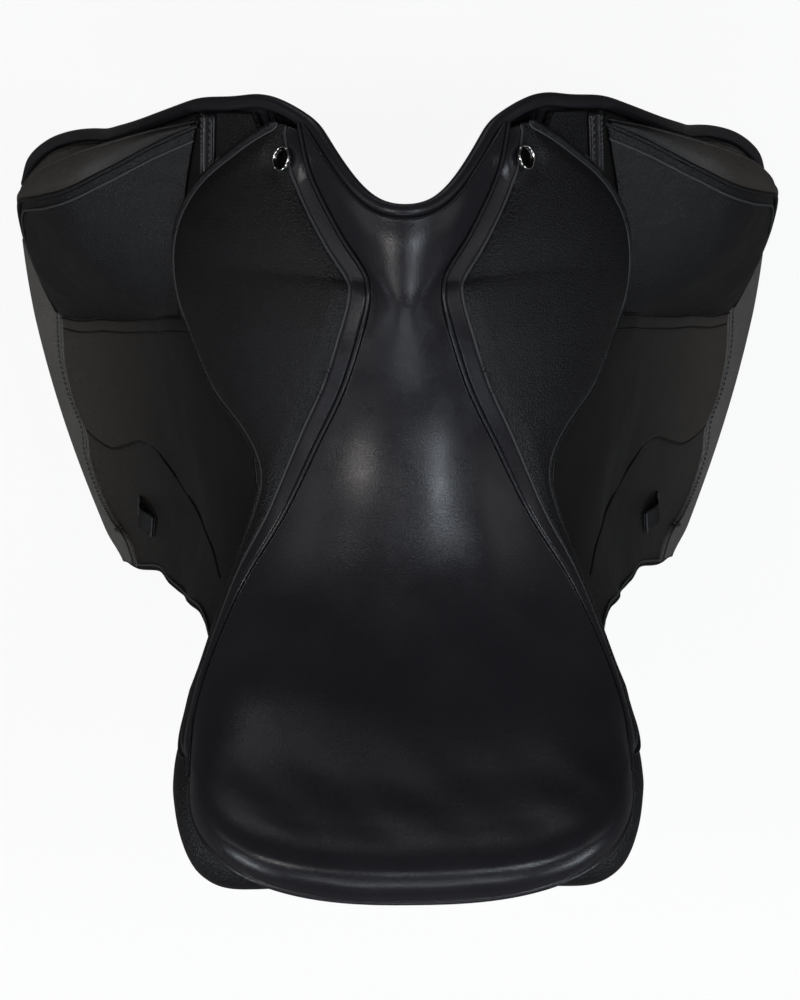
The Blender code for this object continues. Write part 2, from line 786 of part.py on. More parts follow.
# Thigh blocks, given on the flap by y, z and distance off it in millimetres, from top to outer end

BLOCK_SEAM = ((139, -107), (144, -126), (149, -150), (156, -178), (164, -212), (173, -250), (184, -291),
              (194, -335), (206, -371))
BLOCK_RIDGE = ((245, -37, 3), (240, -54, 18), (233, -82, 38), (232, -112, 54), (244, -155, 62),
               (256, -208, 61), (248, -254, 51), (233, -303, 33), (211, -366, 5))
BLOCK_BACK = ((249, -37, 3), (249, -52, 19), (249, -77, 41), (252, -109, 55), (259, -156, 60),
              (265, -209, 58), (265, -257, 46), (259, -306, 27), (236, -368, 5))
BLOCK_FRONT = ((252, -40), (254, -64), (258, -94), (265, -134), (274, -182), (282, -232), (286, -285),
               (281, -328), (250, -370))
BLOCK_ROWS = 17
BLOCK_BOW = (0.010, -0.016)
BLOCK_FULLNESS = 0.012


def block_loops(side, room):
    seam = smooth_line(BLOCK_SEAM)
    ridge = smooth_line(BLOCK_RIDGE)
    back = smooth_line(BLOCK_BACK)
    front = smooth_line(BLOCK_FRONT)
    loops = []
    for s in shares(BLOCK_ROWS):
        seam_y, seam_z = seam(s)
        ridge_y, ridge_z, ridge_out = ridge(s)
        back_y, back_z, back_out = back(s)
        front_y, front_z = front(s)
        bow = max(0.0, 1 - 3 * s) ** 2
        loop = []
        for share in shares(8):
            lean = math.sin(math.pi * share)
            out = mix(room, ridge_out, share ** 0.9) + BLOCK_FULLNESS * lean * min(1.0, 3 * s, 4 * (1 - s))
            loop.append(flap_point(mix(seam_y, ridge_y, share) + BLOCK_BOW[0] * bow * lean,
                                   mix(seam_z, ridge_z, share) + BLOCK_BOW[1] * bow * lean, out))
        for share in (0.5, 1.0):
            loop.append(flap_point(mix(ridge_y, back_y, share), mix(ridge_z, back_z, share),
                                   mix(ridge_out, back_out, share) + 0.002 * math.sin(math.pi * share)))
        for share in shares(4, 0.25, 1.0):
            loop.append(flap_point(mix(back_y, front_y, share), mix(back_z, front_z, share),
                                   mix(back_out, room, share)))
        for share in shares(6, 1 / 7, 6 / 7):
            lean = math.sin(math.pi * share)
            loop.append(flap_point(mix(front_y, seam_y, share) + BLOCK_BOW[0] * bow * lean,
                                   mix(front_z, seam_z, share) + BLOCK_BOW[1] * bow * lean, room))
        loops.append([mirrored(point, side) for point in loop])
    return loops


def thigh_blocks():
    for word, side in SIDES:
        rings("thigh_block_" + word, block_loops(side, 2 * GAP), "grained_leather",
              origin=lift_centre(side))


# Wool panels under the tree: y, inner x, outer x, top and bottom in millimetres

PANEL_ROWS = (
    (-229, 78, 110, -36, -66), (-225, 66, 121, -30, -80), (-214, 51, 133, -22, -94),
    (-190, 38, 142, -15, -104), (-155, 33, 145, -18, -112), (-120, 32, 136, -38, -117),
    (-90, 32, 122, -50, -119), (-55, 32, 104, -56, -119), (-20, 32, 92, -55, -119),
    (20, 32, 90, -46, -119), (60, 32, 93, -28, -119), (90, 33, 97, -14, -118),
    (108, 36, 96, -10, -112), (120, 42, 92, -12, -98), (126, 50, 84, -22, -82),
)
PANEL_SIDES = 18
PANEL_TILT = 0.010
PANEL_ROOM = SPRING_THICKNESS + METAL_ROOM + 0.0009
PANEL_CLEARANCE = 0.0012
PANEL_FLAP_END = -0.098
PANEL_SQUARENESS = 0.62


def panels():
    row_at = smooth(millimetres([(i / (len(PANEL_ROWS) - 1), *row) for i, row in enumerate(PANEL_ROWS)]))
    for word, side in SIDES:
        loops = []
        for share in shares(24):
            y, inner, outer, top, bottom = row_at(share)
            loop = []
            for k in range(PANEL_SIDES):
                angle = 2 * math.pi * k / PANEL_SIDES
                c = math.cos(angle)
                s = math.sin(angle)
                x = (inner + outer) / 2 + (outer - inner) / 2 * math.copysign(abs(c) ** PANEL_SQUARENESS, c)
                z = (top + bottom) / 2 + (top - bottom) / 2 * math.copysign(abs(s) ** PANEL_SQUARENESS, s)
                z -= PANEL_TILT * ((x - inner) / (outer - inner) - 0.5)
                z = min(z, tree_top(x, y) - TREE_THICKNESS - PANEL_ROOM)
                if y > PANEL_FLAP_END:
                    x = min(x, inside_flap(y, z, PANEL_FRONT_OUT - PANEL_CLEARANCE))
                loop.append(mirrored((x, y, z), side))
            loops.append(loop)
        rings("panel_" + word, loops, "grained_leather")


PANEL_FRONT_TRIM = {"front_trim": 0.006, "rear_trim": 0.216, "bottom_trim": 0.30}
PANEL_FRONT_EDGE = 0.005


def panel_fronts():
    """The pads in front, between the tree's points and the sweat flaps."""
    for word, side in SIDES:
        grid = flap_grid(side, 10, 7, PANEL_FRONT_OUT, **PANEL_FRONT_TRIM)
        rows = len(grid)
        columns = len(grid[0])
        lower = []
        for i, down in enumerate(shares(rows)):
            line = []
            for j, across in enumerate(shares(columns)):
                y, z = flap_place(down, across, **PANEL_FRONT_TRIM)
                fullness = math.sin(math.pi * across) * math.sin(math.pi * (0.08 + 0.86 * down))
                depth = mix(PANEL_FRONT_EDGE, PANEL_FRONT_THICKNESS, fullness ** 0.5)
                line.append(mirrored(flap_point(y, z, PANEL_FRONT_OUT - depth), side))
            lower.append(line)
        slab("panel_front_" + word, grid, lower, "grained_leather")


# The tree's metal and its webbing

HEAD_LINE = ((0, 130), (16, 134), (30, 145), (42, 160), (52, 176), (57, 183))
HEAD_PLATE_WIDTH = 0.014
GULLET_PLATE_WIDTH = 0.022
SPRING_LINE = ((44, 112), (43, 85), (43, 50), (44, 20), (47, -10), (57, -40), (69, -80), (80, -118),
               (85, -150), (78, -186))
POINT_HALF_WIDTH = 0.011
POINT_THICKNESS = 0.0044
POINT_Y = 0.190
POINT_TOP = 0.002
POINT_BOTTOM = -0.128


def band(name, line, width, offset, thickness, material_name, stations=12, side=0):
    """A strip that follows the tree's upper surface at an offset, along a line in plan.

    It lies on one side of the tree, or runs across it from side to side where the side is 0.
    """
    path = smooth_line(line)
    half = []
    for share in shares(stations):
        here = np.array(path(share))
        along = np.array(path(min(share + 0.02, 1.0))) - np.array(path(max(share - 0.02, 0.0)))
        if share == 0 and not side:
            along = np.array((1.0, 0.0))
        across = unit(np.array((-along[1], along[0])))
        line_points = []
        for reach in (-0.5, 0.0, 0.5):
            x, y = here + across * width * reach
            line_points.append((x, y))
        half.append(line_points)
    if side:
        plan = [[(x * side, y) for x, y in line_points] for line_points in half]
    else:
        plan = [[(-x, y) for x, y in line_points] for line_points in reversed(half[1:])] + half
    upper = [[np.array((x, y, tree_top(abs(x), y) + offset)) for x, y in line_points] for line_points in plan]
    lower = [[point - np.array((0.0, 0.0, thickness)) for point in line_points] for line_points in upper]
    slab(name, upper, lower, material_name)


def tree_metal():
    above = HEAD_PLATE_THICKNESS + METAL_ROOM
    below = -TREE_THICKNESS - METAL_ROOM
    band("head_plate", HEAD_LINE[:5], HEAD_PLATE_WIDTH, above, HEAD_PLATE_THICKNESS, "steel")
    band("gullet_plate", HEAD_LINE, GULLET_PLATE_WIDTH, below, GULLET_PLATE_THICKNESS, "steel")
    for word, side in SIDES:
        band("spring_bar_" + word, SPRING_LINE, SPRING_WIDTH, below, SPRING_THICKNESS, "steel", 20, side)


def tree_points():
    """The tree's two points, which run down between flap and sweat flap."""
    for word, side in SIDES:
        upper = []
        lower = []
        for z in shares(9, POINT_TOP, POINT_BOTTOM):
            narrow = POINT_HALF_WIDTH * (1 - 0.35 * (POINT_TOP - z) / (POINT_TOP - POINT_BOTTOM))
            out = -(FLAP_LEATHER + 2 * GAP)
            edges = (POINT_Y - narrow, POINT_Y, POINT_Y + narrow)
            upper.append([mirrored(flap_point(y, z, out), side) for y in edges])
            lower.append([mirrored(flap_point(y, z, out - POINT_THICKNESS), side) for y in edges])
        slab("tree_point_" + word, upper, lower, "tree_wood")


WEB_FRONT = 0.03
WEB_REAR = 0.97
WEB_DEPTH = 0.002


def seat_webbing():
    """Webbing stretched in the tree's opening, under the foam."""
    inner = smooth_line(TREE_INNER)
    upper = []
    for share in shares(21, WEB_FRONT, WEB_REAR):
        x, y = inner(share)
        upper.append([np.array((across * (x - 2 * GAP), y, tree_top(abs(across) * x, y) - WEB_DEPTH))
                      for across in shares(7, -1.0, 1.0)])
    lower = [[point - np.array((0.0, 0.0, WEB_THICKNESS)) for point in line] for line in upper]
    slab("seat_webbing", upper, lower, "webbing")


# Stirrup bars on the rails' outer sides, each open to the rear, with its hinged catch

BAR_CENTRE = np.array((0.0612, 0.112, -0.0115))
BAR_ALONG = unit(np.array((-0.035, -1.0, -0.30)))
BAR_OUTWARD = unit(np.array((1.0, -0.035, 0.0)))


def bar_frame(side):
    along = Vector(mirrored(BAR_ALONG, side))
    outward = Vector(mirrored(BAR_OUTWARD, side))
    up = along.cross(outward) if side > 0 else outward.cross(along)
    centre = Vector(mirrored(BAR_CENTRE, side))
    return centre, along.normalized(), outward.normalized(), up.normalized()


def bar_place(side, along, outward, up):
    centre, along_way, outward_way, up_way = bar_frame(side)
    return centre + along_way * along + outward_way * outward + up_way * up


def prism(name, outline, low, high, side, material_name, origin=(0.0, 0.0, 0.0)):
    """An outline in the stirrup bar's own along and outward directions, drawn out up and down."""
    count = len(outline)
    points = [bar_place(side, along, outward, low) for along, outward in outline]
    points += [bar_place(side, along, outward, high) for along, outward in outline]
    faces = [tuple(range(count)), tuple(reversed(range(count, 2 * count)))]
    faces += [(i, (i + 1) % count, (i + 1) % count + count, i + count) for i in range(count)]
    return mesh_object(name, points, faces, material_name, origin, smooth_shading=False)


def pin_shape(name, centre, direction, radius, length, material_name, origin=(0.0, 0.0, 0.0), sides=12):
    work = bmesh.new()
    bmesh.ops.create_cone(work, cap_ends=True, segments=sides, radius1=radius, radius2=radius, depth=length)
    turn = Vector((0, 0, 1)).rotation_difference(Vector(direction)).to_matrix().to_4x4()
    place = Matrix.Translation(Vector(centre) - Vector(origin))
    bmesh.ops.transform(work, matrix=place @ turn, verts=work.verts)
    data = bpy.data.meshes.new(name)
    work.to_mesh(data)
    work.free()
    return add_object(name, data, material_name, origin)


def stirrup_bars():
    half = BAR_LENGTH / 2
    arm_inner = BAR_PLATE + BAR_SLOT
    arm_outer = arm_inner + BAR_ARM
    corner = 0.005
    for word, side in SIDES:
        outline = ((half, 0.0), (half, BAR_PLATE), (-half + BAR_ARM + corner, BAR_PLATE),
                   (-half + BAR_ARM, BAR_PLATE + corner), (-half + BAR_ARM, arm_inner - corner),
                   (-half + BAR_ARM + corner, arm_inner), (half, arm_inner), (half, arm_outer),
                   (-half + corner, arm_outer), (-half, arm_outer - corner), (-half, 0.0))
        bar = prism("stirrup_bar_" + word, outline, -BAR_DEPTH / 2, BAR_DEPTH / 2, side, "steel")
        pin_along = half - 0.0045
        _, _, outward, _ = bar_frame(side)
        pin_middle = bar_place(side, pin_along, arm_inner + BAR_ARM / 2 - CATCH_THICKNESS / 2 - GAP, 0.0)
        hole = pin_shape("pin_hole_" + word, pin_middle, outward, CATCH_PIN_RADIUS + GAP,
                         BAR_ARM + CATCH_THICKNESS + 0.006, "steel")
        pin_shape("catch_pin_" + word, pin_middle, outward, CATCH_PIN_RADIUS,
                  BAR_ARM + CATCH_THICKNESS + 2 * GAP, "steel")
        cut(bar, [hole])
        near = arm_inner - GAP - CATCH_THICKNESS
        nose = CATCH_WIDTH / 2
        low = pin_along - 0.0035
        plan = ((low, -nose * 0.7), (low + 0.002, -nose), (pin_along + CATCH_LENGTH - 0.004, -nose),
                (pin_along + CATCH_LENGTH, -nose * 0.4), (pin_along + CATCH_LENGTH, nose * 0.4),
                (pin_along + CATCH_LENGTH - 0.004, nose), (low + 0.002, nose), (low, nose * 0.7))
        points = [bar_place(side, along, near, up) for along, up in plan]
        points += [bar_place(side, along, near + CATCH_THICKNESS, up) for along, up in plan]
        count = len(plan)
        faces = [tuple(range(count)), tuple(reversed(range(count, 2 * count)))]
        faces += [(i, (i + 1) % count, (i + 1) % count + count, i + count) for i in range(count)]
        catch = mesh_object("stirrup_catch_" + word, points, faces, "steel", pin_middle, smooth_shading=False)
        cut(catch, [hole])


# Studs and dees

STUD_ALONG = 0.0495
STUD_OVER = 0.250
STUD_STEP = 0.02
STUD_ROOM = 0.0007
STUD_SIDES = 18
DEE_PLACE = np.array((0.2245, -0.0245))
DEE_AHEAD = unit(np.array((0.80, 0.35)))
DEE_ACROSS = np.array((-DEE_AHEAD[1], DEE_AHEAD[0]))
DEE_REACH = 0.0052
DEE_HALF_WIDTH = 0.0055
DEE_ROOM = 0.0008


def studs():
    profile = ((1.0, 0.0), (1.0, 0.35), (0.93, 0.85), (0.80, 1.0), (0.72, 0.8))
    for word, side in SIDES:
        centre = mirrored(skirt_point(STUD_ALONG, STUD_OVER), side)
        ahead = skirt_point(STUD_ALONG - STUD_STEP, STUD_OVER)
        behind = skirt_point(STUD_ALONG + STUD_STEP, STUD_OVER)
        inside = skirt_point(STUD_ALONG, STUD_OVER - STUD_STEP)
        outside = skirt_point(STUD_ALONG, STUD_OVER + STUD_STEP)
        along = mirrored(behind - ahead, side)
        over = mirrored(outside - inside, side)
        normal = unit(np.cross(along, over))
        if normal[2] < 0:
            normal = -normal
        frame = frame_from(centre + normal * STUD_ROOM, unit(along), normal)
        points = []
        for k in range(STUD_SIDES):
            angle = 2 * math.pi * k / STUD_SIDES
            for share, height in profile:
                reach = STUD_RADIUS * share
                local = (reach * math.cos(angle), reach * math.sin(angle), STUD_HEIGHT * height)
                points.append(frame @ Vector(local))
        rim = len(profile)
        faces = grid_faces(STUD_SIDES, rim, closed_rows=True)
        faces.append(tuple(k * rim for k in range(STUD_SIDES)))
        faces.append(tuple(k * rim + rim - 1 for k in reversed(range(STUD_SIDES))))
        mesh_object("stud_" + word, points, faces, "nickel")


def dees():
    """A wire dee on each side, its two legs held under the skirt's front edge."""
    for word, side in SIDES:
        points = []
        for angle in shares(11, -math.pi / 2, math.pi / 2):
            ahead = DEE_REACH * abs(math.cos(angle)) ** 0.6
            across = DEE_HALF_WIDTH * math.sin(angle)
            y, z = DEE_PLACE + DEE_AHEAD * ahead + DEE_ACROSS * across
            points.append(mirrored(flap_point(y, z, DEE_WIRE + DEE_ROOM), side))
        tube("dee_" + word, points, DEE_WIRE, "nickel")


# Billets between flap and sweat flap, and the webs that carry them

BILLET_FORWARD = 0.112
BILLET_REARWARD = 0.066
BILLET_TOP = -0.0475
BILLET_END = -0.535
BILLET_TURN = -0.425
BILLET_HOLES = 8
BILLET_HOLE_PITCH = 0.025
BILLET_FIRST_HOLE = 0.030
BILLET_TIP = 0.012
BILLET_WEB_TOP = -0.030
BILLET_STATIONS = 10


def billet_point(y, z, out):
    """On a billet's face: along the flap's inside, and straight down below its edge."""
    if z >= BILLET_TURN:
        return flap_point(y, z, out)
    return flap_point(y, BILLET_TURN, out) + np.array((0.0, 0.0, z - BILLET_TURN))


def billet_strip(name, y_values, z_values, out, thickness, material_name, side):
    upper = [[mirrored(billet_point(y, z, out), side) for y in y_values(z)] for z in z_values]
    lower = [[mirrored(billet_point(y, z, out - thickness), side) for y in y_values(z)] for z in z_values]
    return slab(name, upper, lower, material_name)


def billets():
    out = -(FLAP_LEATHER + 3 * GAP)
    z_values = shares(BILLET_STATIONS, BILLET_TOP, BILLET_TURN)
    z_values += [BILLET_TURN - 0.006, BILLET_END + BILLET_TIP, BILLET_END]
    for word, side in SIDES:
        for place, middle in (("front", BILLET_FORWARD), ("rear", BILLET_REARWARD)):
            def edges(z):
                half = BILLET_WIDTH / 2 * (0.45 if z == BILLET_END else 1.0)
                return middle - half, middle + half

            name = "billet_" + place + "_" + word
            strap = billet_strip(name, edges, z_values, out, BILLET_LEATHER, "smooth_leather", side)
            holes = []
            for k in range(BILLET_HOLES):
                z = BILLET_END + BILLET_FIRST_HOLE + k * BILLET_HOLE_PITCH
                centre = mirrored(billet_point(middle, z, out - BILLET_LEATHER / 2), side)
                normal = mirrored(flap_normal(middle, z) if z > BILLET_TURN else (1.0, 0.0, 0.0), side)
                holes.append(pin_shape("hole_%s_%d" % (name, k), centre, normal, BILLET_HOLE,
                                       4 * BILLET_LEATHER, "smooth_leather", sides=8))
            cut(strap, holes)

        def web_edges(z):
            return shares(4, BILLET_REARWARD - BILLET_WIDTH / 2, BILLET_FORWARD + BILLET_WIDTH / 2)

        billet_strip("billet_web_" + word, web_edges, shares(3, BILLET_WEB_TOP, BILLET_TOP + 0.0008), out,
                     BILLET_LEATHER, "webbing", side)


def build():
    for thing in list(bpy.data.objects):
        bpy.data.objects.remove(thing, do_unlink=True)
    tree_frame()
    tree_metal()
    tree_points()
    seat_webbing()
    stirrup_bars()
    seat_foam()
    seat_cover()
    seat_welts()
    cantle_leather()
    pommel_facing()
    skirts()
    studs()
    dees()
    flaps()
    flap_trims()
    front_roll()
    thigh_blocks()
    panels()
    panel_fronts()
    billets()


build()
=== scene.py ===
"""Looks of the dressage saddle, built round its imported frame. Metres, +Z up, X to the right, Y forward.

The surfaces repeat the part's own tables, in millimetres from the seat's lowest point. Points are worked out
for the right side and mirrored for the left. Heights are lifted by SEAT_HEIGHT when a mesh is made.
"""

import math

import bpy
import numpy as np
from mathutils import Matrix, Vector

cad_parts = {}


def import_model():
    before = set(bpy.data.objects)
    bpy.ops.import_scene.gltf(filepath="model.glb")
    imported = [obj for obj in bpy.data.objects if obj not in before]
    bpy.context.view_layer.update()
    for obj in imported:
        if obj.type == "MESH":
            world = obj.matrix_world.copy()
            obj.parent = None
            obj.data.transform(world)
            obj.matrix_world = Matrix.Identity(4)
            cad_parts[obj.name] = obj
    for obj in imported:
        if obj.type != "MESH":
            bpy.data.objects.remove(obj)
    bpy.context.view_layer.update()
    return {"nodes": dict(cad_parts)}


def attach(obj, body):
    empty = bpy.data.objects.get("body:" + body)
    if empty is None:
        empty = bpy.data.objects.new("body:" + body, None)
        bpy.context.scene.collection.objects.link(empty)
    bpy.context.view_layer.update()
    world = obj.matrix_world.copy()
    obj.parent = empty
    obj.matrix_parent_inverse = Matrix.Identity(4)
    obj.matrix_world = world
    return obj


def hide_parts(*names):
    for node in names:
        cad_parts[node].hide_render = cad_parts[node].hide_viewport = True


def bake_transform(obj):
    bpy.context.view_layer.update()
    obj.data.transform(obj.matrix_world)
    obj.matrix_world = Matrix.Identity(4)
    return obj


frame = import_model()

SEAT_HEIGHT = 0.115
SIDES = (("left", -1), ("right", 1))
UP = np.array((0.0, 0.0, 1.0))
OUTWARD = (1.0, 0.0, 0.0)
FORWARD = (0.0, 1.0, 0.0)
REARWARD = (0.0, -1.0, 0.0)


# Smooth lines through chosen points

def smooth(rows):
    """A function of the first column that runs smoothly through every row's other columns."""
    table = np.array(sorted(rows), dtype=float)
    keys = table[:, 0]
    values = table[:, 1:]
    count = len(keys)
    before = np.maximum(np.arange(count) - 1, 0)
    after = np.minimum(np.arange(count) + 1, count - 1)
    slopes = (values[after] - values[before]) / (keys[after] - keys[before])[:, None]

    def at(key):
        key = np.clip(np.asarray(key, dtype=float), keys[0], keys[-1])
        i = np.clip(np.searchsorted(keys, key, side="left") - 1, 0, count - 2)
        span = (keys[i + 1] - keys[i])[..., None]
        t = (key - keys[i])[..., None] / span
        value = (
            values[i] * ((1 + 2 * t) * (1 - t) ** 2)
            + slopes[i] * (span * t * (1 - t) ** 2)
            + values[i + 1] * (t * t * (3 - 2 * t))
            + slopes[i + 1] * (span * t * t * (t - 1))
        )
        return np.moveaxis(value, -1, 0) if value.shape[-1] > 1 else value[..., 0]

    return at


def millimetres(rows):
    return [(row[0], *(value / 1000 for value in row[1:])) for row in rows]


def smooth_line(points):
    """A function from 0 to 1 along the smooth line through points given in millimetres."""
    last = len(points) - 1
    return smooth(millimetres([(i / last, *point) for i, point in enumerate(points)]))


def steps(count, first=0.0, last=1.0):
    return np.linspace(first, last, count)


def spans(*parts):
    """Even steps through each span of (count, first, last), with the ends that they share taken once."""
    lines = [steps(*part) for part in parts]
    return np.concatenate([line[:-1] for line in lines[:-1]] + lines[-1:])


def mix(first, last, share):
    return first + (last - first) * share


def unit(vectors):
    return vectors / np.maximum(np.linalg.norm(vectors, axis=-1, keepdims=True), 1e-12)


def ramp(value, low, high):
    """Rises smoothly from 0 at low to 1 at high."""
    t = np.clip((np.asarray(value, dtype=float) - low) / (high - low), 0.0, 1.0)
    return t * t * (3 - 2 * t)


def bump_of(value, middle, reach):
    """A round bump of height 1 about the middle, nought beyond the reach."""
    t = np.clip((np.asarray(value, dtype=float) - middle) / reach, -1.0, 1.0)
    return (1 - t * t) ** 2


def mirrored(points, side):
    return np.asarray(points) * np.array((side, 1.0, 1.0))


def waviness(points, length, seed):
    """A gentle unevenness between -1 and 1 with about this length between its swells."""
    total = np.zeros(points.shape[:-1])
    for k in range(4):
        turn = seed * 1.7 + k * 2.1
        way = np.array((math.cos(turn), math.sin(turn * 1.3), math.sin(turn * 0.7 + 1.0)))
        total = total + np.sin(points @ way * (2 * math.pi / length) * (1 + 0.35 * k) + turn)
    return total / 4


# The seat's surface: share of its length, half width, y and z of the seam, y and z of the middle

SEAT_ROWS = (
    (0.00, 62, 225, 34, 155, 70),
    (0.07, 55, 193, 37, 141, 67),
    (0.14, 38, 155, 44, 123, 60),
    (0.21, 22.5, 128, 46, 108, 54),
    (0.25, 20.5, 113, 44, 100, 49),
    (0.30, 26, 91, 34, 82, 36),
    (0.36, 36.5, 63, 16, 58, 21.5),
    (0.43, 52, 35, -3, 30, 9.5),
    (0.52, 74, -6, -22, -8, 1),
    (0.61, 100, -47, -31, -56, -1),
    (0.70, 119, -93, -23, -115, 11),
    (0.78, 127, -125, -6, -165, 44),
    (0.84, 128.5, -143, 5, -197, 79),
    (0.89, 128.5, -153, 12, -213, 95),
    (0.93, 128.5, -160, 17, -225, 101.5),
    (0.96, 128.5, -164, 20, -233, 100),
    (0.98, 128.5, -166, 21.5, -238.5, 95),
    (1.00, 128, -167, 22, -242, 87),
)
seat_row = smooth(millimetres(SEAT_ROWS))
seat_flatness = smooth(((0.0, 2.0), (0.3, 2.1), (0.55, 2.5), (0.75, 3.1), (1.0, 3.0)))
NOTCH_END = 0.28
CANTLE_START = 0.62
CANTLE_WHOLE = 0.85
CANTLE_ROUNDNESS = 0.784
SEAT_WELT_RADIUS = 0.0017
WELT_ROOM = 0.0006
WELT_SINK = 0.001
GAP = 0.0004


def seat_point(row, across):
    """The seat's upper surface: row from pommel 0 to cantle 1, across from left seam -1 to right seam 1."""
    row, across = np.broadcast_arrays(np.asarray(row, dtype=float), np.asarray(across, dtype=float))
    half_width, seam_y, seam_z, middle_y, middle_z = seat_row(row)
    share = np.abs(across)
    notched = np.maximum(0.0, 1 - row / NOTCH_END)
    rounded = np.clip((row - CANTLE_START) / (CANTLE_WHOLE - CANTLE_START), 0.0, 1.0)
    angle = share * math.pi / 2
    out = mix(share, np.sin(angle) ** CANTLE_ROUNDNESS, rounded)
    notch_back = 1.25 * share ** 2.4 - 0.25 * share ** 6
    cantle_back = 1 - np.maximum(np.cos(angle), 0.0) ** CANTLE_ROUNDNESS
    back = mix(mix(share ** 2, notch_back, notched), cantle_back, rounded)
    fall = share ** seat_flatness(row)
    return np.stack((
        np.sign(across) * half_width * out,
        mix(middle_y, seam_y, back),
        mix(middle_z, seam_z, fall),
    ), axis=-1)


# The flap's surface, given by its distance from the middle plane at each height

FLAP_REACH = (
    (-460, 217), (-420, 203), (-380, 189), (-340, 176), (-280, 157), (-220, 141), (-160, 128), (-130, 121),
    (-100, 110), (-80, 100), (-60, 88), (-40, 74), (-20, 58), (0, 42), (20, 22),
)
FLAP_SPREAD = ((-0.42, 0.34), (-0.30, 0.30), (-0.20, 0.26), (-0.10, 0.25), (0.02, 0.24))
FLAP_SPREAD_FROM = 0.020
REAR_SPREAD = 0.28
SPREAD_SOFTNESS = 0.030
SLOPE_STEP = 0.001
flap_reach = smooth([(z / 1000, x / 1000) for z, x in FLAP_REACH])
flap_spread = smooth(FLAP_SPREAD)


def soft_step(value):
    return 0.5 * (value + np.hypot(value, SPREAD_SOFTNESS))


def reach_at(y, z):
    return flap_reach(z) + flap_spread(z) * soft_step(y - FLAP_SPREAD_FROM) + REAR_SPREAD * soft_step(-y)


def flap_normal(y, z):
    slope_y = (reach_at(y + SLOPE_STEP, z) - reach_at(y - SLOPE_STEP, z)) / (2 * SLOPE_STEP)
    slope_z = (reach_at(y, z + SLOPE_STEP) - reach_at(y, z - SLOPE_STEP)) / (2 * SLOPE_STEP)
    return unit(np.stack((np.ones_like(slope_y), -slope_y, -slope_z), axis=-1))


def flap_point(y, z, out=0.0):
    """A point on the right flap's outer surface, or this far out from it along its normal."""
    y, z = np.broadcast_arrays(np.asarray(y, dtype=float), np.asarray(z, dtype=float))
    out = np.asarray(out, dtype=float)[..., None]
    return np.stack((reach_at(y, z), y, z), axis=-1) + flap_normal(y, z) * out


def flap_line(y, z, out):
    """The points of a line this far out from the flap, and the normals there."""
    return flap_point(y, z, out), flap_normal(y, z)


FLAP_LEATHER = 0.0042
FLAP_FRONT = ((254, -35), (256, -62), (259, -90), (264, -118), (278, -175), (296, -232), (308, -285),
              (311, -330), (304, -368), (276, -394))
FLAP_REAR = ((-82, -77), (-72, -86), (-61, -98), (-51, -117), (-42, -150), (-30, -200), (-13, -262),
             (2, -300), (14, -365), (30, -408))
FLAP_SPLIT = ((254, -35), (212, -36), (170, -45), (128, -46), (86, -46), (44, -55), (2, -59), (-40, -71),
              (-82, -77))
FLAP_BOTTOM_SAG = 0.034
FLAP_CORNER = 0.045
CORNER_FROM = 0.88
flap_front = smooth_line(FLAP_FRONT)
flap_rear = smooth_line(FLAP_REAR)
flap_split = smooth_line(FLAP_SPLIT)


def flap_place(down, across, front_trim=0.0, rear_trim=0.0, bottom_trim=0.0):
    """y and z on the flap: down from the skirt 0 to the bottom edge 1, across from front 0 to rear 1."""
    down, across = np.broadcast_arrays(np.asarray(down, dtype=float) * (1 - bottom_trim),
                                       np.asarray(across, dtype=float))
    down = down * (1 - FLAP_CORNER * ramp(across, CORNER_FROM, 1.0) ** 2 * down ** 6)
    front_y, front_z = flap_front(down)
    rear_y, rear_z = flap_rear(down)
    y = mix(front_y - front_trim, rear_y + rear_trim, across)
    z = mix(front_z, rear_z, across)
    rise = flap_split(across)[1] - mix(flap_front(0.0)[1], flap_rear(0.0)[1], across)
    sag = FLAP_BOTTOM_SAG * down ** 3 * 4 * across * (1 - across)
    return np.stack((y, z - sag + rise * (1 - down) ** 4))


# The skirt's surface: row of the seat's seam, y and z of the edge, how freely the edge hangs, and the crown

SKIRT_LEATHER = 0.005
SKIRT_ROWS = (
    (0.005, 231, 16, 0, 1),
    (0.05, 227, 2, 0, 4),
    (0.09, 217, -33, 0, 8),
    (0.13, 204, -59, 0, 14),
    (0.17, 189, -77, 0, 19),
    (0.21, 170, -89, 0, 22),
    (0.25, 148, -93, 0, 23),
    (0.29, 128, -89, 0, 22),
    (0.33, 106, -84, 0, 19),
    (0.37, 83, -76, 0, 15),
    (0.41, 58, -59, 0, 10),
    (0.45, 38, -50, 0, 6),
    (0.49, 22, -48, 0, 4),
    (0.53, 6, -53, 0, 3),
    (0.57, -12, -59, 0, 3),
    (0.61, -32, -64, 0, 3),
    (0.66, -62, -68, 0, 3),
    (0.70, -88, -64, 0.5, 3),
    (0.74, -110, -52, 1, 3),
    (0.78, -128, -36, 1, 2),
    (0.82, -142, -18, 1, 2),
    (0.86, -152, -4, 1, 1),
    (0.90, -158, 4, 1, 1),
    (0.95, -167, 11, 1, 1),
    (1.00, -173, 17, 1, 1),
)
SKIRT_LAST = len(SKIRT_ROWS) - 1
skirt_row = smooth([
    (i / SKIRT_LAST, row, edge_y / 1000, edge_z / 1000, hanging, crown / 1000)
    for i, (row, edge_y, edge_z, hanging, crown) in enumerate(SKIRT_ROWS)
])
BAND_OVERHANG = 0.0085
SKIRT_WELT_ROOM = 2 * (SEAT_WELT_RADIUS + WELT_ROOM) + 2 * GAP
LIFT_FRONT = np.array((0.0835, 0.205, 0.034))
LIFT_REAR = np.array((0.0885, 0.030, -0.018))
LIFT_WAY = LIFT_REAR - LIFT_FRONT
LIFT_OUTWARD = unit(np.array((-LIFT_WAY[1], LIFT_WAY[0], 0.0)))
LEAF_END = 0.45
LEAF_START = 0.018
SEAM_SPAN = 0.01
SLOPE_FROM = 0.96
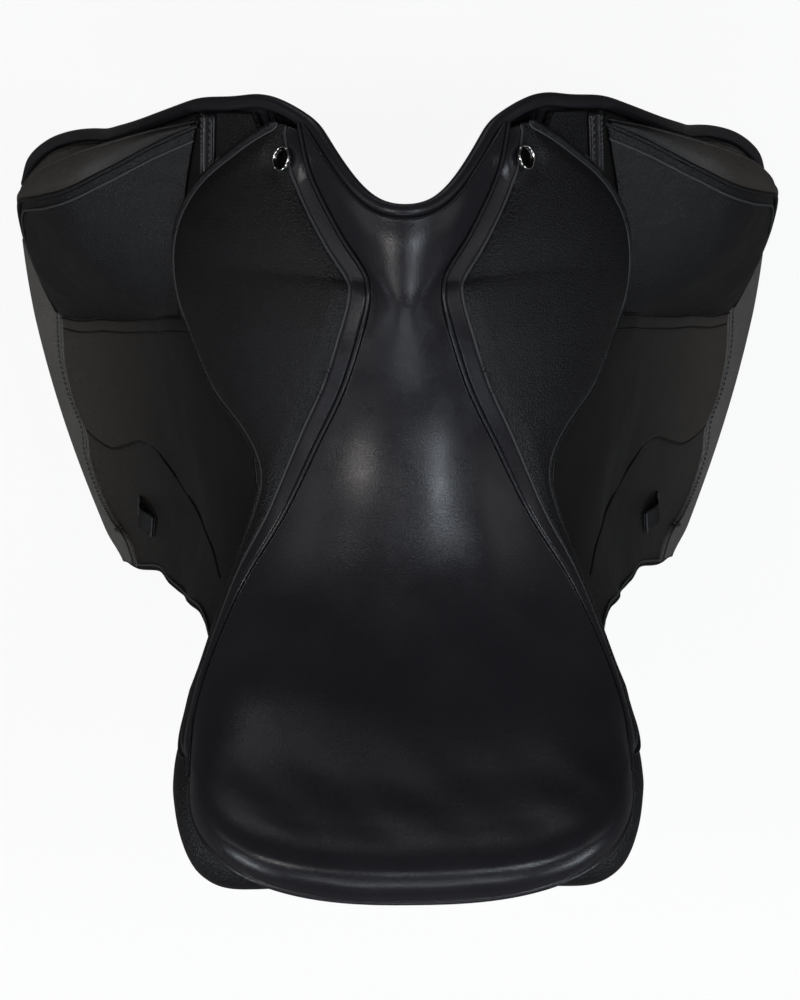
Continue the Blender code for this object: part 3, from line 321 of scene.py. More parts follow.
SHORTEST_RUN = 0.0004
STEEPEST_FALL = -1.6


def level_outward(ahead):
    """The level direction to the right of ahead."""
    return np.stack((-ahead[..., 1], ahead[..., 0], np.zeros_like(ahead[..., 0])), axis=-1)


def seam_slope(row):
    """The direction in which the seat's surface falls over the right seam."""
    behind = seat_point(np.minimum(row + SEAM_SPAN, 1.0), 1.0)
    outward = unit(level_outward(behind - seat_point(np.maximum(row - SEAM_SPAN, 0.0), 1.0)))
    step = seat_point(row, 1.0) - seat_point(row, SLOPE_FROM)
    run = np.maximum(np.sum(step * outward, axis=-1), SHORTEST_RUN)
    fall = np.maximum(step[..., 2] / run, STEEPEST_FALL)
    return unit(outward + fall[..., None] * UP)


def skirt_point(along, over):
    """The right skirt's upper surface: along from front 0 to rear 1, over from the seam 0 to the edge 1."""
    along, over = np.broadcast_arrays(np.asarray(along, dtype=float), np.asarray(over, dtype=float))
    row, edge_y, edge_z, hanging, crown = skirt_row(along)
    seam = seat_point(row, 1.0)
    inner = seam + seam_slope(row) * SKIRT_WELT_ROOM - UP * WELT_SINK
    resting = flap_point(edge_y, edge_z, SKIRT_LEATHER + GAP)
    free = np.stack((seam[..., 0] + BAND_OVERHANG, edge_y, edge_z), axis=-1)
    edge = mix(resting, free, np.clip(hanging, 0.0, 1.0)[..., None])
    chord = edge - inner
    up = unit(np.cross(chord, np.array(FORWARD)))
    up = np.where(up[..., 2:] < 0, -up, up)
    return inner + chord * over[..., None] + up * (crown * 4 * over * (1 - over))[..., None]


def skirt_split(along):
    """Where the upright plane through the lift line crosses each row of the skirt, 1 where it doesn't."""
    low = np.zeros_like(along)
    high = np.ones_like(along)
    for _ in range(30):
        middle = (low + high) / 2
        inside = (skirt_point(along, middle) - LIFT_FRONT) @ LIFT_OUTWARD < 0
        low = np.where(inside, middle, low)
        high = np.where(inside, high, middle)
    return high


# Meshes from grids of points

def grid_normals(grid, hint):
    """The normals of a grid of points, all turned towards the hint's side."""
    normals = unit(np.cross(np.gradient(grid, axis=0), np.gradient(grid, axis=1)))
    facing = np.sum(normals * np.asarray(hint), axis=-1, keepdims=True)
    return normals * np.where(np.mean(facing) < 0, -1.0, 1.0)


def grid_quads(rows, columns, close_columns=False, first=0):
    i = np.arange(rows - 1)[:, None]
    j = np.arange(columns if close_columns else columns - 1)[None, :]
    next_j = (j + 1) % columns
    corners = (i * columns + j, (i + 1) * columns + j, (i + 1) * columns + next_j, i * columns + next_j)
    return np.stack([np.broadcast_to(c, (i.size, j.size)) for c in corners], axis=-1).reshape(-1, 4) + first


def ring_faces(rings, sides, first=0):
    """The faces round a stack of rings, and a lid on each end."""
    faces = grid_quads(rings, sides, close_columns=True, first=first).tolist()
    faces.append([first + k for k in range(sides)][::-1])
    faces.append([first + (rings - 1) * sides + k for k in range(sides)])
    return faces


def linked(name, data):
    thing = bpy.data.objects.new(name, data)
    bpy.context.scene.collection.objects.link(thing)
    return thing


def make_mesh(name, points, faces, materials, side=1, inward=False, indices=None, sharp=None):
    """A smooth mesh on its side of the saddle. Faces that are listed inward for the right side are turned."""
    data = bpy.data.meshes.new(name)
    points = mirrored(np.reshape(points, (-1, 3)), side) + UP * SEAT_HEIGHT
    turn = -1 if inward != (side < 0) else 1
    data.from_pydata(points.tolist(), [], [list(map(int, face[::turn])) for face in faces])
    for item in materials if isinstance(materials, list) else [materials]:
        data.materials.append(item)
    if indices is not None:
        data.polygons.foreach_set("material_index", np.asarray(indices, dtype=np.int32))
    data.shade_smooth()
    if sharp:
        data.set_sharp_from_angle(angle=math.radians(sharp))
    return linked(name, data)


EDGE_STEPS = 5
EDGE_BULGE = 0.7
WALL_ANGLE = 50


def shell(name, grid, thickness, materials, side=1, hint=OUTWARD, grained=None, relief=None, cut=()):
    """Leather with its outer face on a grid of points, raised point by point by a relief.

    Its edges are round, but for those named in cut: first and last are the grid's first and last row, near
    and far its first and last column. Where grained is 1 the second material shows.
    """
    normals = grid_normals(grid, hint)
    rows, columns = grid.shape[:2]
    upper = grid if relief is None else grid + normals * relief[..., None]
    lower = grid - normals * thickness
    rim = [(0, j) for j in range(columns)]
    rim += [(i, columns - 1) for i in range(1, rows)]
    rim += [(rows - 1, j) for j in range(columns - 2, -1, -1)]
    rim += [(i, 0) for i in range(rows - 2, 0, -1)]
    i, j = np.array(rim).T
    step_i = np.where(i == 0, "first" not in cut, 0) - np.where(i == rows - 1, "last" not in cut, 0)
    step_j = np.where(j == 0, "near" not in cut, 0) - np.where(j == columns - 1, "far" not in cut, 0)
    out = grid[i, j] - grid[i + step_i, j + step_j]
    out = unit(out - np.sum(out * normals[i, j], axis=-1, keepdims=True) * normals[i, j])
    top = upper[i, j]
    bottom = lower[i, j]
    half = np.linalg.norm(top - bottom, axis=-1, keepdims=True) / 2
    rings = []
    for k in range(1, EDGE_STEPS + 1):
        angle = math.pi * k / (EDGE_STEPS + 1)
        level = (top + bottom) / 2 + (top - bottom) / 2 * math.cos(angle)
        rings.append(level + out * half * math.sin(angle) * EDGE_BULGE)
    count = rows * columns
    points = np.concatenate([upper.reshape(-1, 3), lower.reshape(-1, 3)] + rings)
    faces = [grid_quads(rows, columns), grid_quads(rows, columns, first=count)[:, ::-1]]
    index = i * columns + j
    around = np.arange(len(index))
    ladder = [index] + [2 * count + k * len(index) + around for k in range(EDGE_STEPS)] + [index + count]
    for above, below in zip(ladder, ladder[1:]):
        faces.append(np.stack((above, below, np.roll(below, -1), np.roll(above, -1)), axis=-1))
    indices = None
    if grained is not None:
        on_face = grained[:-1, :-1].reshape(-1)
        indices = np.concatenate([on_face, on_face] + [np.zeros(len(f)) for f in faces[2:]])
    inward = np.dot(np.cross(grid[1, 0] - grid[0, 0], grid[0, 1] - grid[0, 0]), normals[0, 0]) < 0
    sharp = WALL_ANGLE if cut else None
    return make_mesh(name, points, np.concatenate(faces), materials, side, inward, indices, sharp)


DOME_ANGLES = (0.6, 1.15)


def tube(name, path, radius, materials, side=1, sides=12):
    """A round tube along a path, with domed ends."""
    path = np.asarray(path, dtype=float)
    radii = np.broadcast_to(np.asarray(radius, dtype=float), (len(path),))
    ahead = unit(np.gradient(path, axis=0))
    across = unit(np.cross(ahead[0], UP if abs(ahead[0][2]) < 0.9 else np.array(OUTWARD)))
    angles = np.arange(sides) * 2 * math.pi / sides
    loops = []
    for centre, reach, way in zip(path, radii, ahead):
        across = unit(across - way * np.dot(across, way))
        over = np.cross(way, across)
        loops.append(centre + reach * (np.cos(angles)[:, None] * across + np.sin(angles)[:, None] * over))

    def dome(end, way):
        return [path[end] + (loops[end] - path[end]) * math.cos(t) + way * radii[end] * math.sin(t)
                for t in DOME_ANGLES]

    loops = dome(0, -ahead[0])[::-1] + loops + dome(-1, ahead[-1])
    return make_mesh(name, np.concatenate(loops), ring_faces(len(loops), sides), materials, side, inward=True)


def along_path(path):
    """The length of a path up to each of its points."""
    return np.concatenate(([0.0], np.cumsum(np.linalg.norm(np.diff(path, axis=0), axis=1))))


def resampled(path, pitch):
    """Rows at an even pitch along a path, given by rows of any width."""
    lengths = along_path(path)
    count = max(int(lengths[-1] / pitch), 1)
    places = (np.arange(count) + 0.5) * lengths[-1] / count
    return np.stack([np.interp(places, lengths, column) for column in path.T], axis=-1)


STITCH_PITCH = 0.0042
STITCH_LENGTH = 0.0029
STITCH_RADIUS = 0.00080
STITCH_LIFT = 0.00025
STITCH_SLANT = 0.30
STITCH_SIDES = 6
STITCH_RINGS = ((-0.5, 0.35), (-0.32, 0.9), (0.0, 1.15), (0.32, 0.9), (0.5, 0.35))
FEWEST_STITCHES = 3
THREAD_LIFT = 0.0002


def stitches(name, lines, materials, side=1, pitch=STITCH_PITCH, length=STITCH_LENGTH):
    """One mesh of stitches along lines, each line given as points and their normals."""
    points = []
    faces = []
    for path, normals in lines:
        both = resampled(np.concatenate((path, normals), axis=1), pitch) if len(path) > 1 else []
        if len(both) < FEWEST_STITCHES:
            continue
        places = both[:, :3]
        up = unit(both[:, 3:])
        ahead = unit(np.gradient(places, axis=0))
        across = unit(np.cross(ahead, up))
        slant = unit(ahead + across * STITCH_SLANT)
        for centre, way, aside, rise in zip(places, slant, across, up):
            faces += ring_faces(len(STITCH_RINGS), STITCH_SIDES, len(points))
            for shift, reach in STITCH_RINGS:
                middle = centre + way * shift * length + rise * STITCH_LIFT
                for k in range(STITCH_SIDES):
                    angle = 2 * math.pi * k / STITCH_SIDES
                    round_it = math.cos(angle) * aside + math.sin(angle) * rise
                    points.append(middle + reach * STITCH_RADIUS * round_it)
    return make_mesh(name, points, faces, materials, side)


def line_at(grid, normals, field, value):
    """Where a field that grows along each row of the grid reaches a value: the points and normals there."""
    points = []
    ways = []
    for row, normal, reach in zip(grid, normals, field):
        over = np.nonzero((reach[:-1] < value) & (reach[1:] >= value))[0]
        if len(over):
            j = over[0]
            share = (value - reach[j]) / (reach[j + 1] - reach[j])
            points.append(mix(row[j], row[j + 1], share))
            ways.append(mix(normal[j], normal[j + 1], share))
    return np.array(points), np.array(ways)


def place(thing, body, slot, *nodes):
    """The piece rides on a body and stands for CAD nodes, which it hides. The slot is not used."""
    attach(thing, body)
    if nodes:
        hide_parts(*nodes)
    return thing


def joined(thing, first, second, start, end, slot, *nodes):
    """The piece's placing is baked into its mesh, and the CAD nodes that it stands for are hidden. First,
    second, start, end and slot are not used.
    """
    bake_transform(thing)
    if nodes:
        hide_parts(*nodes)


ON_TREE = ("saddle", "smooth_leather")
ON_TREE_GRAINED = ("saddle", "grained_leather")
ON_TREE_NICKEL = ("saddle", "nickel")
ON_FLAP = ("flap_", "smooth_leather")
ON_FLAP_GRAINED = ("flap_", "grained_leather")
ON_FLAP_ROUGH = ("flap_", "rough_leather")


def pair(stem, where, node, make, *values, **more):
    """The same piece on both sides. A body's or node's name that ends in an underscore gets the side's."""
    body, slot = where
    made = []
    for word, side in SIDES:
        thing = make(stem + word, *values, side=side, **more)
        rides_on = body + word if body.endswith("_") else body
        made.append(place(thing, rides_on, slot, *([node + word] if node else [])))
    return made


def pair_of_stitches(stem, where, lines, **more):
    pair(stem, where, None, stitches, lines, THREAD, **more)


# Materials

def feed(tree, node, inputs):
    """Links the inputs that are given an output and sets the others."""
    for key, value in inputs.items():
        if hasattr(value, "is_output"):
            tree.links.new(value, node.inputs[key])
        else:
            node.inputs[key].default_value = value


def add_node(tree, kind, inputs, **settings):
    node = tree.nodes.new("ShaderNode" + kind)
    for key, value in settings.items():
        setattr(node, key, value)
    feed(tree, node, inputs)
    return node


def new_material(name):
    made = bpy.data.materials.new(name)
    made.use_nodes = True
    tree = made.node_tree
    tree.nodes.clear()
    shader = add_node(tree, "BsdfPrincipled", {})
    output = add_node(tree, "OutputMaterial", {0: shader.outputs[0]})
    return made, tree, shader, output


def object_place(tree, scale=(1.0, 1.0, 1.0)):
    where = add_node(tree, "TexCoord", {}).outputs["Object"]
    return add_node(tree, "Mapping", {"Vector": where, "Scale": scale}).outputs[0]


def ramped(tree, value, low, high, to_low=0.0, to_high=1.0, **settings):
    return add_node(tree, "MapRange", {"Value": value, "From Min": low, "From Max": high, "To Min": to_low,
                                       "To Max": to_high}, **settings).outputs[0]


def mixed_colour(tree, factor, first, second):
    colours = [c if hasattr(c, "is_output") else (*c, 1) for c in (first, second)]
    node = add_node(tree, "Mix", {"Factor": factor, "A": colours[0], "B": colours[1]}, data_type="RGBA")
    return node.outputs["Result"]


def noise(tree, where, scale, detail, roughness=0.5):
    return add_node(tree, "TexNoise", {"Vector": where, "Scale": scale, "Detail": detail,
                                       "Roughness": roughness}).outputs


def bands(tree, where, scale, direction, distortion):
    return add_node(tree, "TexWave", {"Vector": where, "Scale": scale, "Distortion": distortion},
                    bands_direction=direction).outputs["Fac"]


def bump(tree, height, strength, distance, under=None):
    inputs = {"Height": height, "Strength": strength, "Distance": distance}
    if under is not None:
        inputs["Normal"] = under
    return add_node(tree, "Bump", inputs).outputs[0]


def calculated(tree, operation, *values):
    return add_node(tree, "Math", dict(enumerate(values)), operation=operation).outputs[0]


def faded(colour, share):
    return tuple(value * share for value in colour)


LEATHER_IOR = 1.34
SHEEN_ROUGHNESS = 0.5
# Painted sheen: between these distances out from the middle the leather's colour is made paler, standing in
# for the floor's reflection on the flaps' outer parts.
PAINTED_SHEEN_FROM = 0.150
PAINTED_SHEEN_TO = 0.235


def leather(name, colour, worn, roughness, grain_size, grain_height, crease=0.00010, sheen=0.0, swell=0.0009,
            pores=0.55, painted_sheen=None):
    """Dyed leather: pebble grain, fine creases, uneven polish and a little wear, and, where it is given, a
    painted sheen that makes the colour paler further out from the middle.
    """
    made, tree, shader, _ = new_material(name)
    here = object_place(tree)
    warp = noise(tree, here, 90.0, 2.0)["Color"]
    shift = add_node(tree, "VectorMath", {0: warp, "Scale": grain_size * 1.2}, operation="SCALE").outputs[0]
    bent = add_node(tree, "VectorMath", {0: here, 1: shift}, operation="ADD").outputs[0]
    pebbles = add_node(tree, "TexVoronoi", {"Vector": bent, "Scale": 1 / grain_size, "Smoothness": 0.35},
                       feature="SMOOTH_F1").outputs["Distance"]
    fine = add_node(tree, "TexVoronoi", {"Vector": bent, "Scale": 2.7 / grain_size},
                    feature="DISTANCE_TO_EDGE").outputs["Distance"]
    pull = noise(tree, here, 320.0, 4.0, 0.6)["Fac"]
    broad = noise(tree, here, 9.0, 3.0)["Fac"]
    cloudy = noise(tree, here, 38.0, 5.0, 0.6)["Fac"]
    grain = bump(tree, ramped(tree, pebbles, 0.15, 0.75, 1.0, 0.0), 1.0, grain_height)
    small = bump(tree, ramped(tree, fine, 0.0, 0.12), 0.6, grain_height * 0.35, grain)
    creased = bump(tree, pull, 0.7, crease, small)
    tone = mixed_colour(tree, ramped(tree, broad, 0.35, 0.65), colour, worn)
    # Painted sheen: the colour grows paler further out from the middle, in place of the floor's reflection.
    if painted_sheen:
        parts = add_node(tree, "SeparateXYZ", {"Vector": here})
        aside = calculated(tree, "ABSOLUTE", parts.outputs["X"])
        tone = mixed_colour(tree, ramped(tree, aside, PAINTED_SHEEN_FROM, PAINTED_SHEEN_TO), tone, painted_sheen)
    hollow = ramped(tree, pebbles, 0.35, 0.8, 0.0, pores)
    feed(tree, shader, {
        "Normal": bump(tree, cloudy, 0.5, swell, creased),
        "Base Color": mixed_colour(tree, hollow, tone, faded(colour, 0.45)),
        "Roughness": ramped(tree, cloudy, 0.3, 0.7, roughness - 0.05, roughness + 0.07),
        "IOR": LEATHER_IOR,
        "Sheen Weight": sheen,
        "Sheen Roughness": SHEEN_ROUGHNESS,
    })
    return made


def thread(name, colour):
    """Waxed linen thread, with its two twisted strands."""
    made, tree, shader, _ = new_material(name)
    strands = bands(tree, object_place(tree), 900.0, "DIAGONAL", 1.5)
    feed(tree, shader, {
        "Normal": bump(tree, strands, 0.5, 0.0001),
        "Base Color": mixed_colour(tree, strands, faded(colour, 0.5), colour),
        "Roughness": 0.6,
    })
    return made


def metal(name, colour, roughness, brushed=0.0):
    """Polished or brushed metal with faint scratches."""
    made, tree, shader, _ = new_material(name)
    here = object_place(tree, (1.0, 12.0, 12.0) if brushed else (1.0, 1.0, 1.0))
    marks = noise(tree, here, 260.0, 6.0)["Fac"]
    feed(tree, shader, {
        "Normal": bump(tree, marks, 0.25 + brushed, 0.00004),
        "Base Color": mixed_colour(tree, marks, faded(colour, 0.8), colour),
        "Roughness": ramped(tree, marks, 0.3, 0.7, roughness * 0.8, roughness * 1.3),
        "Metallic": 1.0,
    })
    return made


def wood(name, dark, pale, pore_colour):
    """Laminated beech: thin plies and pores along the grain."""
    made, tree, shader, _ = new_material(name)
    plies = bands(tree, object_place(tree), 95.0, "Z", 1.2)
    pores = noise(tree, object_place(tree, (60.0, 4.0, 60.0)), 12.0, 6.0)["Fac"]
    base = mixed_colour(tree, plies, dark, pale)
    feed(tree, shader, {
        "Normal": bump(tree, pores, 0.4, 0.0002),
        "Base Color": mixed_colour(tree, ramped(tree, pores, 0.5, 0.75), base, pore_colour),
        "Roughness": 0.48,
    })
    return made


def woven(name, colour, pitch):
    """Plain weave of thick yarn."""
    made, tree, shader, _ = new_material(name)
    here = object_place(tree)
    warp, weft = [bands(tree, here, 0.31 / pitch, direction, 0.4) for direction in ("X", "Y")]
    cross = calculated(tree, "MULTIPLY", warp, weft)
    feed(tree, shader, {
        "Normal": bump(tree, cross, 0.8, 0.0004),
        "Base Color": mixed_colour(tree, cross, faded(colour, 0.55), colour),
        "Roughness": 0.85,
        "Sheen Weight": 0.2,
    })
    return made


def foam(name, dark, pale):
    """Pale latex foam with open cells."""
    made, tree, shader, _ = new_material(name)
    cells = add_node(tree, "TexVoronoi", {"Vector": object_place(tree), "Scale": 420.0}).outputs["Distance"]
    feed(tree, shader, {
        "Normal": bump(tree, cells, 0.7, 0.0006),
        "Base Color": mixed_colour(tree, cells, dark, pale),
        "Roughness": 0.9,
    })
    return made


SMOOTH = leather("smooth_calf", (0.0092, 0.0086, 0.0106), (0.0118, 0.0110, 0.0134), 0.27, 0.0010, 0.00004,
                 crease=0.00003, swell=0.00015, pores=0.10)
GRAINED = leather("pebbled_calf", (0.0034, 0.0032, 0.0039), (0.0048, 0.0046, 0.0054), 0.38, 0.0013, 0.00032,
                  swell=0.0004)
# The two flap leathers carry a painted sheen, paler towards the outer part of each flap.
FLAP_FACE = leather("flap_calf", (0.0028, 0.0026, 0.0025), (0.0044, 0.0039, 0.0036), 0.44, 0.0010, 0.00008,
                    sheen=0.01, painted_sheen=(0.040, 0.0342, 0.0296))
FLAP_BACK = leather("flap_pebbled", (0.0028, 0.0026, 0.0025), (0.0044, 0.0039, 0.0036), 0.42, 0.0013, 0.00030,
                    sheen=0.01, swell=0.0004, painted_sheen=(0.034, 0.0292, 0.0255))
ROUGH = leather("rough_strip", (0.085, 0.080, 0.072), (0.115, 0.108, 0.098), 0.70, 0.0009, 0.00045,
                sheen=0.05)
EDGE = leather("inked_edge", (0.0024, 0.0023, 0.0023), (0.0036, 0.0035, 0.0035), 0.34, 0.0011, 0.00003)
STRAP = leather("bridle_leather", (0.0050, 0.0045, 0.0042), (0.0080, 0.0070, 0.0062), 0.36, 0.0011, 0.00005)
TAB = leather("plain_tab", (0.004, 0.004, 0.004), (0.007, 0.007, 0.007), 0.55, 0.0008, 0.00012)
THREAD = thread("black_thread", (0.030, 0.030, 0.032))
NICKEL = metal("bright_nickel", (0.80, 0.79, 0.77), 0.14)
DARK_NICKEL = metal("dark_nickel", (0.030, 0.030, 0.032), 0.09)
STEEL = metal("brushed_steel", (0.55, 0.55, 0.56), 0.28, brushed=0.4)
WOOD = wood("laminated_beech", (0.40, 0.25, 0.13), (0.56, 0.38, 0.22), (0.27, 0.16, 0.08))
WEBBING = woven("linen_webbing", (0.62, 0.57, 0.46), 0.0016)
FOAM = foam("latex_foam", (0.50, 0.46, 0.36), (0.76, 0.72, 0.60))


# The seat, its padding and its piping

SEAT_LEATHER = 0.0018
SEAT_SWELL = 0.0006
SWELL_LENGTH = 0.085
CALM_EDGE = 0.2
PIPING_END = 0.962
PIPING_RADIUS = 0.0014
PIPING_FLANGE = (-0.0025, 0.0085)
PIPING_FLANGE_DROP = 0.0042
PIPING_FLANGE_LEATHER = 0.0010


def seat():
    rows = spans((112, 0.0, 0.84), (52, 0.84, 1.0))
    across = steps(141, -1.0, 1.0)
    across = np.sign(across) * (1 - (1 - np.abs(across)) ** 1.12)
    grid = seat_point(rows[:, None], across[None, :])
    calm = np.minimum(1 - np.abs(across), CALM_EDGE)[None, :] / CALM_EDGE
    swell = waviness(grid, SWELL_LENGTH, 2.0) * SEAT_SWELL * calm
    shaped = grid + grid_normals(grid, UP) * swell[..., None]
    cover = shell("seat", shaped, SEAT_LEATHER, SMOOTH, hint=UP)
    place(cover, *ON_TREE, "seat_cover")


def copied_solid(name, node, material, voxel, relaxing, levels):
    """A soft piece that starts as a CAD solid, remeshed and rounded off."""
    data = frame["nodes"][node].data.copy()
    thing = linked(name, data)
    remesh = thing.modifiers.new("remesh", "REMESH")
    remesh.mode = "VOXEL"
    remesh.voxel_size = voxel
    relax = thing.modifiers.new("relax", "SMOOTH")
    relax.factor = 0.5
    relax.iterations = relaxing
    if levels:
        finer = thing.modifiers.new("finer", "SUBSURF")
        finer.levels = levels
        finer.render_levels = levels
    bpy.context.view_layer.update()
    final = bpy.data.meshes.new_from_object(thing.evaluated_get(bpy.context.evaluated_depsgraph_get()))
    thing.modifiers.clear()
    thing.data = final
    final.materials.clear()
    final.materials.append(material)
    final.shade_smooth()
    return thing


def seat_padding():
    piece = copied_solid("seat_padding", "seat_foam", FOAM, 0.004, 4, 0)
    place(piece, "saddle", "foam", "seat_foam")


def seat_piping():
    """The piping in the seat's seam, and the flange that it is sewn in with."""
    rows = steps(150, 0.0, PIPING_END)
    seam = seat_point(rows, 1.0)
    slope = seam_slope(rows)
    path = seam + slope * (SEAT_WELT_RADIUS + WELT_ROOM) - UP * WELT_SINK
    spread = steps(6, *PIPING_FLANGE)[None, :, None]
    flange = seam[:, None, :] + slope[:, None, :] * spread - UP * PIPING_FLANGE_DROP
    pair("seat_piping_", ON_TREE, "seat_welt_", tube, path, PIPING_RADIUS, SMOOTH)
    pair("seat_piping_flange_", ON_TREE, None, shell, flange, PIPING_FLANGE_LEATHER, SMOOTH)


# Skirts: a smooth band along the seam, a stitch line, and the grained leaf with its rolled edge

BAND_WIDTHS = ((0.0, 0.0085), (0.10, 0.0095), (0.45, 0.0095), (0.60, 0.0085), (0.66, 0.0050), (0.75, 0.0036),
               (1.0, 0.0032))
band_width = smooth(BAND_WIDTHS)
TAIL_INWARD = np.array((0.0065, 0.0, 0.0015))
TAIL_INWARD_FROM = 0.84
TAIL_TUCK = 0.85
TAIL_TUCK_FROM = 0.82
ROLL_WIDTH = 0.0034
ROLL_RISE = 0.0012
GROOVE_DEPTH = 0.0011
GROOVE_REACH = 0.0021
EDGE_STITCH = 0.0048
LEAF_RISE = 0.0022
LEAF_SLOPE = 0.011
LEAF_EDGE_SLOPE = 0.013
STUD_ALONG = 0.0495
STUD_OVER = 0.250
STUD_STEP = 0.02
STUD_TILT = math.radians(20)
STUD_HOLLOW = (0.008, 0.020)
SKIRT_SHELL = 0.0042
SKIRT_HINT = (0.5, 0.0, 1.0)
BEND_REACH = 0.016
stud_centre = skirt_point(STUD_ALONG, STUD_OVER)


def nearest(points, line, block=2000):
    """The distance from each point to a line of close points, worked out block by block."""
    flat = points.reshape(-1, 3)
    apart = [np.sqrt(((flat[k:k + block, None, :] - line) ** 2).sum(-1).min(1))
             for k in range(0, len(flat), block)]
    return np.concatenate(apart).reshape(points.shape[:-1])


def skirt_relief(grid, alongs, from_seam, from_edge):
    width = band_width(alongs)
    leaf = ramp(alongs, 0.0, 0.05) * (1 - ramp(alongs, 0.50, 0.60))
    groove = GROOVE_DEPTH * bump_of(from_seam, width, GROOVE_REACH)
    puff = LEAF_RISE * ramp(from_seam, width, width + LEAF_SLOPE) * leaf
    roll = ROLL_RISE * bump_of(from_edge, ROLL_WIDTH * 0.5, ROLL_WIDTH * 0.9)
    edge_groove = GROOVE_DEPTH * bump_of(from_edge, EDGE_STITCH, GROOVE_REACH) * (1 - ramp(alongs, 0.93, 1.0))
    falling = ramp(from_edge, EDGE_STITCH, EDGE_STITCH + LEAF_EDGE_SLOPE)
    around = stud_centre - grid
    under_stud = 1 - ramp(np.linalg.norm(around, axis=-1), *STUD_HOLLOW)
    tilt = -around[..., 0] * under_stud * math.tan(STUD_TILT)
    return puff * falling + roll - groove - edge_groove - tilt


def skirt_parts():
    """Four pieces that meet flush: nose, band inside the lift line, leaf outside it, and tail."""
    alongs = steps(170, LEAF_START, LEAF_END)
    crossing = skirt_split(alongs)
    tail = steps(150, LEAF_END, 1.0)
    return {
        "nose": (steps(10, 0.0, LEAF_START), 0.0, 1.0, ("last",)),
        "band": (alongs, 0.0, crossing, ("first", "last", "far")),
        "leaf": (alongs, crossing, 1.0, ("first", "last", "near")),
        "tail": (tail, 0.0, 1.0 - TAIL_TUCK * ramp(tail, TAIL_TUCK_FROM, 1.0), ("first",)),
    }


def skirt_piece(part, alongs, inner, outer):
    """Grid, relief, grain and stitch lines for the part of the skirt between two lines across its rows."""
    spread = spans((30, 0.0, 0.45), (34, 0.45, 1.0))
    inner, outer = [np.broadcast_to(edge, alongs.shape)[:, None] for edge in (inner, outer)]
    overs = mix(inner, outer, spread)
    whole = np.broadcast_to(alongs[:, None], overs.shape)
    grid = skirt_point(whole, overs) - TAIL_INWARD * ramp(whole, TAIL_INWARD_FROM, 1.0)[..., None]
    close = steps(700)
    from_seam = nearest(grid, skirt_point(close, 0.0))
    from_edge = nearest(grid, skirt_point(close, 1.0))
    relief = skirt_relief(grid, whole, from_seam, from_edge)
    normals = grid_normals(grid, SKIRT_HINT)
    raised = grid + normals * relief[..., None]
    past_band = from_seam - band_width(whole)
    lines = []
    if part != "leaf":
        lines.append(line_at(raised, normals, past_band, 0.0))
    if part != "band":
        lines.append(line_at(raised, normals, -from_edge, -EDGE_STITCH))
    return grid, relief, (past_band > 0).astype(float), lines


def skirts():
    middle = (LIFT_FRONT + LIFT_REAR) / 2 + UP * SEAT_HEIGHT
    nodes = {"band": "skirt_base_", "leaf": "skirt_"}
    for part, (alongs, inner, outer, cut) in skirt_parts().items():
        grid, relief, grained, lines = skirt_piece(part, alongs, inner, outer)
        slot = "grained_leather" if part == "leaf" else "smooth_leather"
        for word, side in SIDES:
            line = mirrored(middle, side)
            reach = mirrored(LIFT_OUTWARD * BEND_REACH, side)
            bends = {
                "band": ("saddle", "flap_" + word, line - reach, line),
                "leaf": ("flap_" + word, "skirt_" + word, line, line + reach),
            }
            piece = shell("skirt_%s_%s" % (part, word), grid, SKIRT_SHELL, [SMOOTH, GRAINED], side,
                          SKIRT_HINT, grained, relief, cut)
            sewn = stitches("skirt_%s_stitches_%s" % (part, word), lines, THREAD, side)
            for thing, stands_for in ((piece, [nodes[part] + word] if part in nodes else []), (sewn, [])):
                if part in bends:
                    joined(thing, *bends[part], slot, *stands_for)
                else:
                    place(thing, "saddle", slot, *stands_for)


# Flaps

WAVE_SEAM = ((125, -396), (112, -376), (102, -352), (98, -321), (94, -287), (84, -257), (66, -233),
             (41, -196), (12, -146), (-14, -108), (-36, -85))
TRIM_INNER = ((214, -360), (202, -373), (178, -394), (152, -401), (125, -396), (105, -408), (80, -407),
              (55, -394), (37, -371), (17, -360))
FLAP_TOP_EDGE = ((241, 4), (222, 6), (202, 4), (184, -4), (168, -16), (154, -27), (130, -31), (100, -31),
                 (75, -30), (48, -28), (18, -29), (-14, -38), (-44, -50), (-72, -60))
wave_seam = smooth_line(WAVE_SEAM)
trim_inner = smooth_line(TRIM_INNER)
flap_top_edge = smooth_line(FLAP_TOP_EDGE)
FLAP_SHELL = FLAP_LEATHER - 0.0004
FLAP_HEM = 0.004
FLAP_SWELL = 0.0012
FLAP_SWELL_LENGTH = 0.12
SEAM_STEP = 0.0008
SEAM_GROOVE = 0.0005
SEAM_CORD = 0.0009
SEAM_END = 0.985
HEAD_OVERLAP = 0.0012
EDGE_ROW = 0.005


def away_from_line(y, z, line, count=240):
    """The distance from each y, z to a smooth line, positive on the line's rear side."""
    line_y, line_z = line(steps(count))
    apart_y = y[..., None] - line_y
    apart_z = z[..., None] - line_z
    apart = np.hypot(apart_y, apart_z)
    closest = np.argmin(apart, axis=-1)
    to_y, to_z, distance = [np.take_along_axis(values, closest[..., None], -1)[..., 0]
                            for values in (apart_y, apart_z, apart)]
    return distance * np.sign(np.gradient(line_y)[closest] * to_z - np.gradient(line_z)[closest] * to_y)


